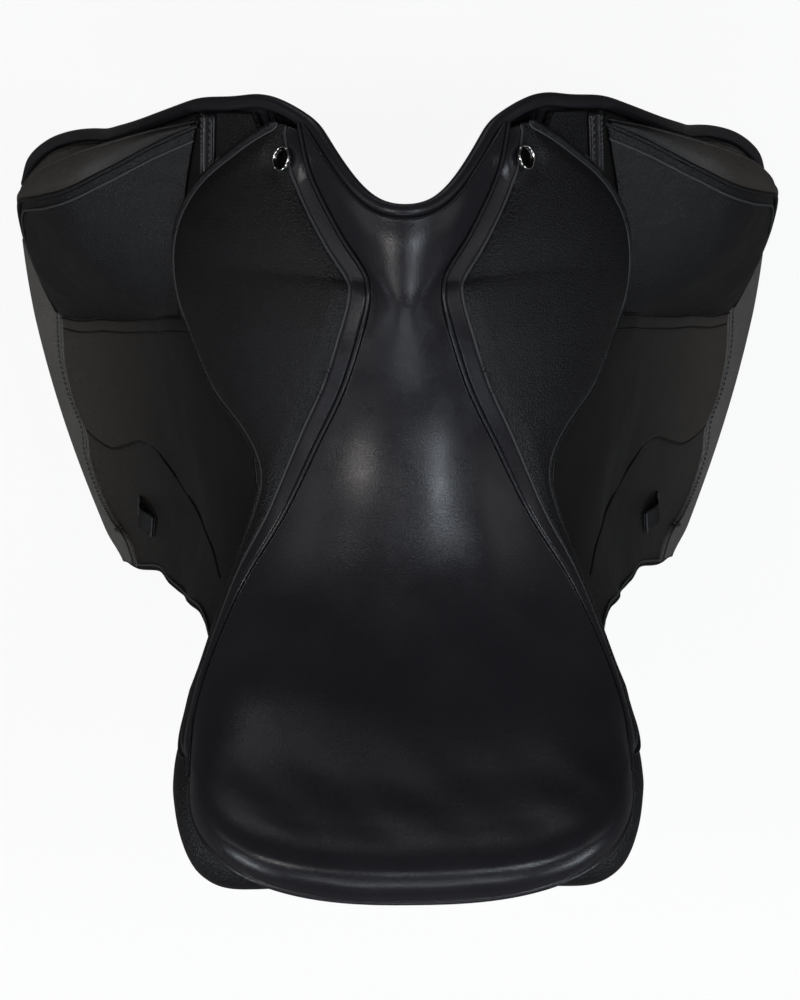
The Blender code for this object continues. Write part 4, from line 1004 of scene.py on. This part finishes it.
def flap_pieces():
    down = spans((150, 0.0, 0.94), (14, 0.94, 1.0))[:, None]
    across = spans((10, 0.0, 0.06), (108, 0.06, 0.94), (10, 0.94, 1.0))[None, :]
    y, z = flap_place(down, across, FLAP_LEATHER / 2, FLAP_LEATHER / 2, FLAP_HEM)
    grid = flap_point(y, z)
    beyond = away_from_line(y, z, wave_seam)
    relief = SEAM_STEP * ramp(-beyond, -0.0012, 0.0016) - SEAM_GROOVE * bump_of(beyond, 0.0008, 0.0022)
    relief = relief + waviness(grid, FLAP_SWELL_LENGTH, 5.0) * FLAP_SWELL
    across = steps(150)
    lower = flap_place(0.0, across) + np.array(((0.0,), (HEAD_OVERLAP,)))
    head = flap_point(*mix(flap_top_edge(across)[:, None], lower[:, None], steps(22)[:, None]))
    points, normals = flap_line(*wave_seam(steps(160, 0.0, SEAM_END)), SEAM_STEP + THREAD_LIFT)
    rear_row = flap_place(steps(140, 0.05, 0.93), 1.0, rear_trim=EDGE_ROW)
    front_row = flap_place(steps(24, 0.0, 0.10), 0.0, front_trim=EDGE_ROW)
    pair("flap_leather_", ON_FLAP, "flap_", shell, grid, FLAP_SHELL, [FLAP_FACE, FLAP_BACK],
         grained=(beyond > 0).astype(float), relief=relief)
    pair("flap_head_", ON_TREE, "flap_top_", shell, head, FLAP_SHELL, GRAINED)
    pair("flap_seam_", ON_FLAP, None, tube, points - normals * 0.0005, SEAM_CORD, EDGE, sides=8)
    pair_of_stitches("flap_stitches_", ON_FLAP,
                     [flap_line(*row, 0.0003) for row in (rear_row, front_row)])


TRIM_LEATHER = 0.0030
TRIM_OUT = 0.0022
TRIM_STITCH = 0.10


def trims():
    """The rough strip along the flap's lower edge, with its stitch line."""
    across = steps(150)
    inner = trim_inner(across)
    outer = flap_place(0.996, mix(0.02, 0.99, across))
    share = spans((8, 0.0, 0.2), (18, 0.2, 1.0))[:, None]
    grid = flap_point(*mix(inner[:, None], outer[:, None], share), TRIM_OUT)
    line = flap_line(*mix(inner, outer, TRIM_STITCH), TRIM_OUT + THREAD_LIFT)
    pair("edge_strip_", ON_FLAP_ROUGH, "flap_trim_", shell, grid, TRIM_LEATHER, ROUGH)
    pair_of_stitches("edge_strip_stitches_", ON_FLAP_ROUGH, [line])


def laid_out(start, way, aside, along, over):
    """y and z of the places so far along one direction and so far over along another from a start."""
    start = np.reshape(start, (2,) + (1,) * np.ndim(along))
    return start + np.multiply.outer(way, along) + np.multiply.outer(aside, over)


TAB_PLACE = (0.045, -0.310)
TAB_ALONG = unit(np.array((0.70, -0.72)))
TAB_ACROSS = np.array((TAB_ALONG[1], -TAB_ALONG[0]))
TAB_LENGTH = 0.030
TAB_WIDTH = 0.015
TAB_ARCH = 0.0055
TAB_LIFT = 0.0024
TAB_LEATHER = 0.0014


def tabs():
    """A plain loop tab: a folded strip that stands a little off the flap, sewn down at both ends."""
    along = steps(26, -0.5, 0.5)[:, None]
    over = steps(16, -0.5, 0.5)[None, :]
    places = laid_out(TAB_PLACE, TAB_ALONG, TAB_ACROSS, along * TAB_LENGTH, over * TAB_WIDTH)
    grid = flap_point(*places, TAB_LIFT + TAB_ARCH * np.cos(math.pi * along) ** 2)
    lines = [flap_line(*places[:, row], TAB_LIFT + 0.0006) for row in (1, -2)]
    pair("plain_tab_", ON_FLAP, "flap_tab_", shell, grid, TAB_LEATHER, TAB)
    pair_of_stitches("tab_stitches_", ON_FLAP, lines, pitch=0.003, length=0.002)


STRIP_TOP = np.array((0.249, -0.0265))
STRIP_END = np.array((0.2155, -0.0375))
STRIP_HALF_WIDTH = 0.0042
STRIP_OUT = 0.0022
STRIP_LEATHER = 0.0018
STRIP_STITCH_COLUMNS = (2, 14)


def front_strips():
    """The short stitched strip beside the thigh block's top."""
    way = STRIP_END - STRIP_TOP
    aside = np.array((-unit(way)[1], unit(way)[0]))
    over = steps(17, -1.0, 1.0)[None, :]
    places = laid_out(STRIP_TOP, way, aside, steps(30)[:, None], over * STRIP_HALF_WIDTH)
    relief = 0.0013 * bump_of(np.abs(over), 0.72, 0.34) - 0.0003 * bump_of(over, 0.0, 0.3)
    lines = [flap_line(*places[:, :, j], STRIP_OUT + 0.0012) for j in STRIP_STITCH_COLUMNS]
    pair("front_strip_", ON_TREE, None, shell, flap_point(*places, STRIP_OUT), STRIP_LEATHER,
         SMOOTH, relief=relief)
    pair_of_stitches("front_strip_stitches_", ON_TREE, lines)


# Thigh blocks, by the lines along their edges: y, z and the distance from the flap

BLOCK_SEAM = ((139, -107), (144, -126), (149, -150), (156, -178), (164, -212), (173, -250), (184, -291),
              (194, -335), (206, -371))
BLOCK_RIDGE = ((245, -37, 3), (240, -54, 18), (233, -82, 38), (232, -112, 54), (244, -155, 62),
               (256, -208, 61), (248, -254, 51), (233, -303, 33), (211, -366, 5))
BLOCK_BACK = ((249, -37, 3), (249, -52, 19), (249, -77, 41), (252, -109, 55), (259, -156, 60),
              (265, -209, 58), (265, -257, 46), (259, -306, 27), (236, -368, 5))
BLOCK_FRONT = ((252, -40), (254, -64), (258, -94), (265, -134), (274, -182), (282, -232), (286, -285),
               (281, -328), (250, -370))
BLOCK_BOW = 0.001
BLOCK_FULLNESS = 0.012
BLOCK_TOP_FULLNESS = 0.003
BLOCK_SIDE_FULLNESS = 0.002
BLOCK_ROOM = 0.0012
BLOCK_SWELL = 0.0007
BLOCK_SWELL_LENGTH = 0.055
BLOCK_ROWS = 110
FACE_COLUMNS = 60
block_seam = smooth_line(BLOCK_SEAM)
block_ridge = smooth_line(BLOCK_RIDGE)
block_back = smooth_line(BLOCK_BACK)
block_front = smooth_line(BLOCK_FRONT)


def block_between(first, last, s, share, fullness=0.0, bowed=False, power=1.0):
    """A face of the block between two of its edges, with its fullness and the bow at its top."""
    (first_y, first_z, *first_out), (last_y, last_z, *last_out) = first(s), last(s)
    lean = np.sin(math.pi * share)
    bow = BLOCK_BOW * np.maximum(0.0, 1 - 3 * s) ** 2 * lean if bowed else 0.0
    out = mix(*(o[0] if o else BLOCK_ROOM for o in (first_out, last_out)), share ** power) + fullness * lean
    return flap_point(mix(first_y, last_y, share) + bow, mix(first_z, last_z, share) + bow, out)


def block_face(s, share):
    """The rear face, from the seam on the flap 0 to the ridge 1."""
    full = np.minimum(1.0, np.minimum(3 * s, 4 * (1 - s)))
    return block_between(block_seam, block_ridge, s, share, BLOCK_FULLNESS * full, True, 0.9)


def block_top(s, share):
    """The top face, from the ridge 0 to the back edge 1."""
    return block_between(block_ridge, block_back, s, share, BLOCK_TOP_FULLNESS)


def block_side(s, share):
    """The front face, from the back edge 0 down to the flap 1."""
    return block_between(block_back, block_front, s, share, BLOCK_SIDE_FULLNESS)


def block_sole(s, share):
    """The face on the flap, from the front 0 to the rear seam 1."""
    return block_between(block_front, block_seam, s, share, bowed=True)


PIPE_RADIUS = 0.0017
PIPE_LIFT = 0.0010
BACK_PIPE_RADIUS = 0.0010
BLOCK_STITCH = 0.93


def thigh_blocks():
    s = steps(BLOCK_ROWS)
    parts = ((block_face, FACE_COLUMNS), (block_top, 16), (block_side, 26), (block_sole, 24))
    loops = np.concatenate([face(s[:, None], steps(count)[None, :-1]) for face, count in parts], axis=1)
    columns = loops.shape[1]
    centre = loops.mean(axis=1, keepdims=True)
    swell = waviness(loops, BLOCK_SWELL_LENGTH, 8.0) * BLOCK_SWELL
    loops = loops + unit(loops - centre) * swell[..., None]
    ridge = block_top(s, 0.0)
    ridge = ridge + unit(ridge - centre[:, 0]) * PIPE_LIFT
    quads = ring_faces(BLOCK_ROWS, columns)
    on_flap_leather = [k % columns >= FACE_COLUMNS - 1 and k < len(quads) - 2 for k in range(len(quads))]
    inset = block_face(s, BLOCK_STITCH)
    normal = unit(np.cross(np.gradient(inset, axis=0), block_face(s, BLOCK_STITCH + 0.05) - inset))
    normal = normal * (-1 if np.mean(normal[:, 0]) < 0 else 1)
    blocks = pair("thigh_block_cover_", ON_FLAP_GRAINED, "thigh_block_", make_mesh, loops, quads,
                  [GRAINED, FLAP_FACE], indices=on_flap_leather)
    pair("thigh_block_piping_", ON_FLAP_GRAINED, None, tube, ridge, PIPE_RADIUS, GRAINED)
    pair("thigh_block_back_piping_", ON_FLAP_GRAINED, None, tube, block_side(s, 0.0), BACK_PIPE_RADIUS,
         FLAP_FACE, sides=8)
    pair_of_stitches("thigh_block_stitches_", ON_FLAP_GRAINED, [(inset + normal * 0.0004, normal)])


BINDING_WIDTH = 0.0085
BINDING_LEATHER = 0.0016
BINDING_OUT = 0.0026
BINDING_END = 0.985
BINDING_HEAD = 0.014
BINDING_CORD = 0.0007


def block_bindings():
    """The binding along the block's rear seam on the flap, with a raised line on each side."""
    y, z = block_seam(steps(150, 0.0, BINDING_END))
    head = steps(14, BINDING_HEAD, 0.001)
    y = np.concatenate((y[0] - head * 0.25, y))
    z = np.concatenate((z[0] + head, z))
    way_y, way_z = unit(np.stack((np.gradient(y), np.gradient(z)), axis=-1)).T * BINDING_WIDTH

    def beside(share, out):
        return flap_point(y + way_z * share, z - way_y * share, out)

    over = steps(15, -0.15, 1.0)[:, None]
    relief = 0.0004 * bump_of(over, 0.45, 0.5)
    pair("block_binding_", ON_FLAP, None, shell, beside(over, BINDING_OUT), BINDING_LEATHER,
         FLAP_FACE, relief=relief)
    for name, share in (("inner", 0.02), ("outer", 0.97)):
        pair("block_binding_%s_" % name, ON_FLAP, None, tube, beside(share, BINDING_OUT + 0.0001),
             BINDING_CORD, EDGE, sides=8)


# The roll round the front, and the leather over the tree's two ends

FRONT_ROLL_RADIUS = 0.0045
ROLL_AHEAD = 0.0056
ROLL_END = 0.90
ROLL_OUT = -0.003
ROLL_DROP = 0.0045
ROLL_STEPS = 420
ROLL_SMOOTHING = 12
FACING_LEATHER = 0.0018
CANTLE_WELT_RADIUS = 0.0021
CANTLE_WELT_ROOM = 0.0013
CANTLE_FACING_BOTTOM = -0.012
CANTLE_SIDE_BOTTOM = -0.020
CANTLE_SIDE_TUCK = np.array((0.005, 0.0, 0.0))
CANTLE_SIDE_DROP = 0.005
POMMEL_FACING_BOTTOM = ((0, 150, 34), (14, 153, 33), (28, 169, 25), (41, 187, 15), (53, 203, 4),
                        (65, 214, -10), (79, 227, -32), (92, 236, -54))
pommel_bottom = smooth_line(POMMEL_FACING_BOTTOM)


def rim_point(row, across, turn):
    """A point on the seat's front or rear edge and the level direction straight out of it."""
    ahead = seat_point(row, np.minimum(across + 0.02, 1.0)) - seat_point(row, np.maximum(across - 0.02, -1.0))
    return seat_point(row, across), unit(level_outward(ahead) * turn)


def roll_half():
    edge, ahead = rim_point(0.0, steps(9, 0.0, 0.97), 1)
    y, z = flap_front(steps(15, 0.0, ROLL_END))
    return np.concatenate((
        edge + ahead * (FRONT_ROLL_RADIUS + 2 * GAP) - UP * ROLL_DROP,
        flap_point(np.array((0.2405, 0.2465)) + ROLL_AHEAD, np.array((0.012, -0.010)), ROLL_OUT),
        flap_point(y + ROLL_AHEAD, z, ROLL_OUT),
    ))


def rounded_path(half, count):
    """The smooth line through a right half's points and their mirrored twins, in this many even steps."""
    points = np.concatenate((mirrored(half[:0:-1], -1), half))
    lengths = along_path(points)
    line = smooth([(place_on, *point) for place_on, point in zip(lengths, points)])
    return np.moveaxis(line(steps(count, 0.0, lengths[-1])), 0, -1)


def front_roll():
    path = rounded_path(roll_half(), ROLL_STEPS)
    for _ in range(ROLL_SMOOTHING):
        path[1:-1] = (path[:-2] + 2 * path[1:-1] + path[2:]) / 4
    from_end = np.minimum(np.arange(ROLL_STEPS), np.arange(ROLL_STEPS)[::-1])
    radius = FRONT_ROLL_RADIUS * (0.55 + 0.45 * ramp(from_end, 0, 16))
    place(tube("front_roll_cover", path, radius, SMOOTH, sides=20), *ON_TREE, "front_roll")


FLANGE_WIDTH = 0.016
FLANGE_OUT = -0.0058
LINING_OUT = -0.0064
LINING_LEATHER = 0.0016
LINING_OVERLAP = np.array(((0.002,), (0.006,)))


def front_flanges():
    """Under the flap's edge, the roll's own sewn flange, and the lining below the flap's fixed head."""
    y, z = flap_front(steps(90, 0.0, ROLL_END - 0.02))
    y = np.concatenate((steps(13, 0.238, y[0])[:-1], y))[:, None]
    z = np.concatenate((steps(13, 0.010, z[0])[:-1], z))[:, None]
    flange = flap_point(y + ROLL_AHEAD * 0.9 - steps(12)[None, :] * FLANGE_WIDTH, z, FLANGE_OUT)
    across = steps(110)
    upper = flap_top_edge(across) + LINING_OVERLAP
    lower = flap_place(0.10, across)
    lining = flap_point(*mix(upper[..., None], lower[..., None], steps(26)), LINING_OUT)
    for stem, grid in (("roll_flange_", flange), ("head_lining_", lining)):
        pair(stem, ON_TREE, None, shell, grid, LINING_LEATHER, SMOOTH)


FRONT_BAND_WIDTH = 0.0085
FRONT_BAND_LEATHER = 0.0014
FRONT_BAND_OUT = 0.0020
FRONT_BAND_INSET = 0.0016
FRONT_BAND_END = 0.60


def front_bands():
    """The raised and stitched band along the flap's front edge."""
    y, z = flap_front(steps(110, 0.004, FRONT_BAND_END))
    share = steps(13)[None, :]
    grid_y = y[:, None] - FRONT_BAND_INSET - share * FRONT_BAND_WIDTH
    relief = 0.0005 * bump_of(share, 0.25, 0.4) - 0.0004 * bump_of(share, 0.66, 0.2)
    pair("flap_front_band_", ON_FLAP, None, shell, flap_point(grid_y, z[:, None], FRONT_BAND_OUT),
         FRONT_BAND_LEATHER, FLAP_FACE, relief=relief)
    pair_of_stitches("flap_front_stitches_", ON_FLAP, [flap_line(grid_y[:, 8], z, FRONT_BAND_OUT)])


def sewn_rows(name, grid, rows, hint):
    """Stitch lines along rows of a grid."""
    normals = grid_normals(grid, hint)
    lines = [(grid[k] + normals[k] * THREAD_LIFT, normals[k]) for k in rows]
    place(stitches(name, lines, THREAD), *ON_TREE)


def pommel_facing():
    roll = roll_half()[:11]
    low = np.moveaxis(pommel_bottom(steps(len(roll))), 0, -1)
    high = rounded_path(roll - np.array((0.0, 0.0015, FRONT_ROLL_RADIUS + 0.0018)), 90)
    low = rounded_path(low, 90)
    grid = mix(high[:, None], low[:, None], steps(18)[None, :, None])
    piece = shell("pommel_facing_cover", grid, FACING_LEATHER, GRAINED, hint=FORWARD)
    place(piece, *ON_TREE, "pommel_facing")
    sewn_rows("pommel_stitches", np.swapaxes(grid, 0, 1), (3,), FORWARD)


def cantle_leather():
    """The cantle's piping, the leather behind it, and the leather below the seam at its sides."""
    rim, outward = rim_point(1.0, steps(150, -0.985, 0.985), -1)
    welt = rim - UP * (CANTLE_WELT_RADIUS + CANTLE_WELT_ROOM)
    place(tube("cantle_piping", welt, CANTLE_WELT_RADIUS, SMOOTH), *ON_TREE, "cantle_welt")
    top = rim - outward * 0.0008 - UP * 2 * (CANTLE_WELT_RADIUS + CANTLE_WELT_ROOM)
    height = top[:, 2] - CANTLE_FACING_BOTTOM
    share = np.minimum(height / 0.06, 1.0)
    profile = smooth(((0.0, 0.0), (0.22, 0.0008), (0.60, 0.010), (1.0, 0.020)))
    grid = np.stack([top - outward * (profile(fall) * share)[:, None] - UP * (height * fall)[:, None]
                     for fall in steps(34)])
    piece = shell("cantle_facing_cover", grid, FACING_LEATHER, SMOOTH, hint=REARWARD)
    place(piece, *ON_TREE, "cantle_facing")
    sewn_rows("cantle_stitches", grid, (2, 30), REARWARD)
    upper = seat_point(steps(50, 0.78, 0.995), 1.0) - UP * CANTLE_SIDE_DROP
    drop = np.maximum(upper[:, 2] - CANTLE_SIDE_BOTTOM, 0.006)
    lower = upper - UP * drop[:, None] - CANTLE_SIDE_TUCK
    flank = mix(upper[:, None, :], lower[:, None, :], steps(14)[None, :, None])
    pair("cantle_side_", ON_TREE, None, shell, flank, FACING_LEATHER, SMOOTH)


# Panels, flocked with wool

def panels():
    for stem, node, voxel, relaxing, fill in (("panel_cover_", "panel_", 0.0045, 10, 0.85),
                                              ("front_pad_", "panel_front_", 0.0035, 6, 0.5)):
        for word, _ in SIDES:
            piece = copied_solid(stem + word, node + word, GRAINED, voxel, relaxing, 1)
            place(piece, "saddle", "grained_leather", node + word)


# Sweat flaps

BILLET_ROOM = 0.0064
SWEAT_FLAP_LEATHER = 0.0035
SWEAT_FLAP_OUT = -(FLAP_LEATHER + BILLET_ROOM)
SWEAT_FLAP_TRIMS = (-0.002, 0.0415, 0.045)
SWEAT_STITCH_TRIMS = (0.004, 0.047, 0.045)


def sweat_flaps():
    places = flap_place(steps(90)[:, None], steps(70)[None, :], *SWEAT_FLAP_TRIMS)
    lines = []
    for column, shares in ((0.0, steps(120, 0.06, 0.97)), (1.0, steps(120, 0.97, 0.06))):
        row = flap_place(shares, column, *SWEAT_STITCH_TRIMS)
        for out in (SWEAT_FLAP_OUT + THREAD_LIFT, SWEAT_FLAP_OUT - SWEAT_FLAP_LEATHER - THREAD_LIFT):
            lines.append(flap_line(*row, out))
    pair("sweat_flap_leather_", ON_TREE_GRAINED, "sweat_flap_", shell,
         flap_point(*places, SWEAT_FLAP_OUT), SWEAT_FLAP_LEATHER, GRAINED)
    pair_of_stitches("sweat_flap_stitches_", ON_TREE_GRAINED, lines)


TREE_EDGE = ((205, 58, 14), (192, 62, 2), (165, 61, -1), (130, 58, -9), (90, 55, -18), (50, 53, -28),
             (5, 55, -42), (-50, 66, -52))
LINING_BOW = np.array((-0.013, 0.0, 0.0))
tree_edge = smooth_line(TREE_EDGE)


def tree_linings():
    """The leather from the tree's edge down to the sweat flap's head, behind the stirrup bar."""
    across = steps(90)
    y, x, z = tree_edge(across)
    upper = np.stack((x, y, z), axis=-1)
    lower = flap_point(*flap_place(0.015, across), SWEAT_FLAP_OUT + 0.0006)
    share = steps(18)[None, :, None]
    grid = mix(upper[:, None, :], lower[:, None, :], share) + LINING_BOW * np.sin(math.pi * share)
    pair("tree_lining_", ON_TREE_GRAINED, None, shell, grid, LINING_LEATHER, GRAINED)


# Studs and dees

STUD_RADIUS = 0.0077
STUD_HEIGHT = 0.0026
STUD_LIFT = 0.0016
STUD_SIDES = 48
STUD_SHARP = 40
DEE_PLACE = (0.2160, -0.0245)
DEE_AHEAD = unit(np.array((0.80, 0.35)))
DEE_ACROSS = np.array((-DEE_AHEAD[1], DEE_AHEAD[0]))
DEE_REACH = 0.0052
DEE_HALF_WIDTH = 0.0055
DEE_WIRE = 0.0012
DEE_ROOM = 0.0008


def turned(name, profile, centre, normal, along, materials, side):
    """A profile of reach and height turned about the normal."""
    across = np.cross(normal, along)
    angles = np.arange(STUD_SIDES)[:, None] * 2 * math.pi / STUD_SIDES
    loops = [centre + reach * (np.cos(angles) * along + np.sin(angles) * across) + normal * height
             for reach, height in profile]
    faces = ring_faces(len(loops), STUD_SIDES)
    return make_mesh(name, np.concatenate(loops), faces, materials, side, sharp=STUD_SHARP)


def stud_profiles():
    """The bright rim and the dark dish in it, as shares of the stud's radius and height."""
    rim = [(0.93 + 0.07 * math.cos(t), 0.60 + 0.40 * math.sin(t)) for t in steps(13, 0.0, math.pi)]
    dish = [(0.85 * math.cos(t), 0.40 + 0.36 * math.sin(t)) for t in steps(9, 0.0, math.pi / 2)[:-1]]
    return (
        [(0.94, 0.0)] + rim + [(0.85, 0.40), (0.83, 0.0)],
        [(0.86, 0.05), (0.86, 0.40)] + dish + [(0.02, 0.76)],
    )


def studs():
    near = np.array((-STUD_STEP, STUD_STEP))
    behind, ahead = skirt_point(STUD_ALONG + near, STUD_OVER)
    inner, outer = skirt_point(STUD_ALONG, STUD_OVER + near)
    along = unit(ahead - behind)
    over = outer - inner
    normal = unit(np.cross(along, over))
    normal = normal * (-1 if normal[2] < 0 else 1)
    lean = np.cross(along, normal)
    normal = normal * math.cos(STUD_TILT) + lean * np.sign(lean[0]) * math.sin(STUD_TILT)
    rim, dish = [[(reach * STUD_RADIUS, height * STUD_HEIGHT) for reach, height in shape]
                 for shape in stud_profiles()]
    where = (stud_centre + normal * STUD_LIFT, normal, along)
    pair("stud_rim_", ON_TREE_NICKEL, "stud_", turned, rim, *where, NICKEL)
    pair("stud_face_", ON_TREE_NICKEL, None, turned, dish, *where, DARK_NICKEL)


def dees():
    angles = steps(41, -math.pi / 2, math.pi / 2)
    ahead = DEE_REACH * np.abs(np.cos(angles)) ** 0.6
    places = laid_out(DEE_PLACE, DEE_AHEAD, DEE_ACROSS, ahead, DEE_HALF_WIDTH * np.sin(angles))
    path = flap_point(*places, DEE_WIRE + DEE_ROOM)
    pair("dee_wire_", ON_TREE_NICKEL, "dee_", tube, path, DEE_WIRE, NICKEL)


# Nodes that keep their CAD shape

def finish_nodes():
    finishes = {"tree_frame": WOOD, "head_plate": STEEL, "gullet_plate": STEEL, "seat_webbing": WEBBING}
    paired = {"tree_point_": WOOD, "billet_web_": WEBBING, "spring_bar_": STEEL, "stirrup_bar_": STEEL,
              "stirrup_catch_": STEEL, "catch_pin_": STEEL, "billet_front_": STRAP, "billet_rear_": STRAP}
    for word, _ in SIDES:
        finishes.update({stem + word: material for stem, material in paired.items()})
    for name, material in finishes.items():
        node = frame["nodes"][name]
        node.data.materials.clear()
        node.data.materials.append(material)


BILLET_PLACES = (0.112, 0.066)
BILLET_STITCH = 0.0095
BILLET_TOP = -0.0475
BILLET_STITCH_END = -0.519
BILLET_TURN = -0.425
BILLET_OUT = -(FLAP_LEATHER + 3 * GAP)


def billet_stitches():
    """Two stitch lines down each billet's outer face, which hangs straight below the turn."""
    z = steps(200, BILLET_TOP, BILLET_STITCH_END)
    bent = np.maximum(z, BILLET_TURN)
    lines = []
    for middle in BILLET_PLACES:
        for shift in (-1, 1):
            y = np.full_like(z, middle + shift * BILLET_STITCH)
            points, normals = flap_line(y, bent, BILLET_OUT + 0.0001)
            lines.append((points + UP * (z - bent)[:, None], normals))
    pair_of_stitches("billet_stitches_", ON_TREE, lines)


# Camera, lights and floor

CAMERA_DISTANCE = 1.70
CAMERA_ELEVATION = math.radians(80)
CAMERA_ASIDE = -0.0176
CAMERA_ROLL = math.radians(-0.66)
LENS = 101.8
SENSOR = 36.0
IMAGE = (800, 1000)
SEAT_PIXEL = (407.0, 500.0)


def camera():
    data = bpy.data.cameras.new("camera")
    data.lens = LENS
    data.sensor_fit = "VERTICAL"
    data.sensor_height = SENSOR
    data.clip_end = 20.0
    thing = linked("camera", data)
    back = Vector((CAMERA_ASIDE, -math.cos(CAMERA_ELEVATION), math.sin(CAMERA_ELEVATION))).normalized()
    upright = Vector(FORWARD)
    upright = (upright - back * upright.dot(back)).normalized()
    turn = Matrix((upright.cross(back), upright, back)).transposed().to_4x4()
    stand = Vector((0.0, 0.0, SEAT_HEIGHT)) + back * CAMERA_DISTANCE
    thing.matrix_world = Matrix.Translation(stand) @ turn @ Matrix.Rotation(CAMERA_ROLL, 4, "Z")
    data.shift_x = (IMAGE[0] / 2 - SEAT_PIXEL[0]) / IMAGE[1]
    data.shift_y = (SEAT_PIXEL[1] - IMAGE[1] / 2) / IMAGE[1]
    bpy.context.scene.camera = thing


COOL = (0.86, 0.93, 1.0)
PAIRED_LAMPS = (
    ("behind_", (1.45, -1.25, 0.36), (0.2, 0.15, -0.02), (0.7, 0.4), 12, COOL),
    ("side_", (1.9, 0.3, 1.2), (0.1, 0.0, -0.05), (1.0, 1.0), 4, (1.0, 0.97, 0.94)),
)
LAMPS = (
    ("above_left", (-0.92, -0.42, 1.75), (0.0, 0.0, 0.05), (0.20, 0.60), 11, (1.0, 0.96, 0.93)),
    ("above_right", (0.60, -0.42, 1.75), (0.0, 0.0, 0.05), (0.20, 0.60), 13, (0.84, 0.92, 1.0)),
    ("behind", (0.0, -1.75, 1.20), (0.0, -0.2, 0.05), (1.3, 0.20), 9, COOL),
    ("ahead_low", (-0.30, 2.2, 0.30), (0.0, 0.05, 0.08), (0.6, 0.35), 2, (0.92, 0.96, 1.0)),
)


def area_light(name, stand, target, size, power, colour):
    data = bpy.data.lights.new(name, "AREA")
    data.shape = "RECTANGLE"
    data.size, data.size_y = size
    data.energy = power
    data.color = colour
    turn = (Vector(target) - Vector(stand)).to_track_quat("-Z", "Y").to_matrix().to_4x4()
    linked(name, data).matrix_world = Matrix.Translation(Vector(stand)) @ turn


def lamps():
    for word, side in SIDES:
        for stem, stand, target, *rest in PAIRED_LAMPS:
            area_light(stem + word, mirrored(stand, side), mirrored(target, side), *rest)
    for name, *rest in LAMPS:
        area_light(name, *rest)


WORLD_FILL = 0.28
FILL_TONE = (0.92, 0.95, 1.0, 1)
ROOM_TONE = (0.8, 0.8, 0.8, 1)
WHITE = (1, 1, 1, 1)
CEILING = 0.03
HORIZON = 0.10
HORIZON_TOP = 0.30
FLOOR_HEIGHT = -0.48
FLOOR_EDGE = 6.0
FLOOR_ROUGHNESS = 0.8
FLOOR_WHITENESS = 0.88
FLOOR_TONE = (0.80, 0.80, 0.80)
FLOOR_BOUNCE = (0.036, 0.033, 0.030)
FLOOR_IN_REFLECTIONS = 0.02


def mixed_shader(tree, factor, first, second):
    return add_node(tree, "MixShader", {"Fac": factor, 1: first.outputs[0], 2: second.outputs[0]})


def ray_kinds(tree):
    """1 for the camera's own rays, and 1 for rays by way of gloss or glass."""
    rays = add_node(tree, "LightPath", {}).outputs
    reflected = calculated(tree, "MAXIMUM", rays["Is Glossy Ray"], rays["Is Transmission Ray"])
    return rays["Is Camera Ray"], reflected


def world():
    """White to the camera, a dim room with a paler horizon in reflections, and an even fill for the rest."""
    made = bpy.data.worlds.new("studio")
    bpy.context.scene.world = made
    made.use_nodes = True
    tree = made.node_tree
    tree.nodes.clear()
    tones = ((FILL_TONE, WORLD_FILL), (ROOM_TONE, CEILING), (ROOM_TONE, HORIZON), (WHITE, 1.0))
    fill, dark, pale, white = [add_node(tree, "Background", {"Color": tone, "Strength": strength})
                               for tone, strength in tones]
    seen, reflected = ray_kinds(tree)
    way = add_node(tree, "SeparateXYZ", {0: add_node(tree, "TexCoord", {}).outputs["Generated"]})
    horizon = ramped(tree, way.outputs["Z"], 0.0, HORIZON_TOP, 1.0, 0.0, interpolation_type="SMOOTHSTEP")
    room = mixed_shader(tree, reflected, fill, mixed_shader(tree, horizon, dark, pale))
    add_node(tree, "OutputWorld", {0: mixed_shader(tree, seen, room, white).outputs[0]})


def floor():
    """A pale floor that keeps its shadow, shows white to the camera and hardly shows in reflections."""
    data = bpy.data.meshes.new("floor")
    turns = ((-1, -1), (1, -1), (1, 1), (-1, 1))
    data.from_pydata([(x * FLOOR_EDGE, y * FLOOR_EDGE, FLOOR_HEIGHT) for x, y in turns], [], [(0, 1, 2, 3)])
    made, tree, shader, output = new_material("pale_floor")
    seen, reflected = ray_kinds(tree)
    feed(tree, shader, {"Base Color": mixed_colour(tree, seen, FLOOR_BOUNCE, FLOOR_TONE),
                        "Roughness": FLOOR_ROUGHNESS})
    glow = add_node(tree, "Emission", {"Strength": 1.0})
    own_light = calculated(tree, "MULTIPLY", seen, FLOOR_WHITENESS)
    share = calculated(tree, "MULTIPLY_ADD", reflected, FLOOR_IN_REFLECTIONS, own_light)
    feed(tree, output, {0: mixed_shader(tree, share, shader, glow).outputs[0]})
    data.materials.append(made)
    linked("floor", data)


finish_nodes()
seat()
seat_padding()
seat_piping()
skirts()
flap_pieces()
trims()
tabs()
front_strips()
thigh_blocks()
block_bindings()
front_roll()
front_flanges()
front_bands()
pommel_facing()
cantle_leather()
panels()
sweat_flaps()
tree_linings()
studs()
dees()
billet_stitches()
camera()
world()
lamps()
floor()
bpy.context.scene.view_settings.view_transform = "Standard"
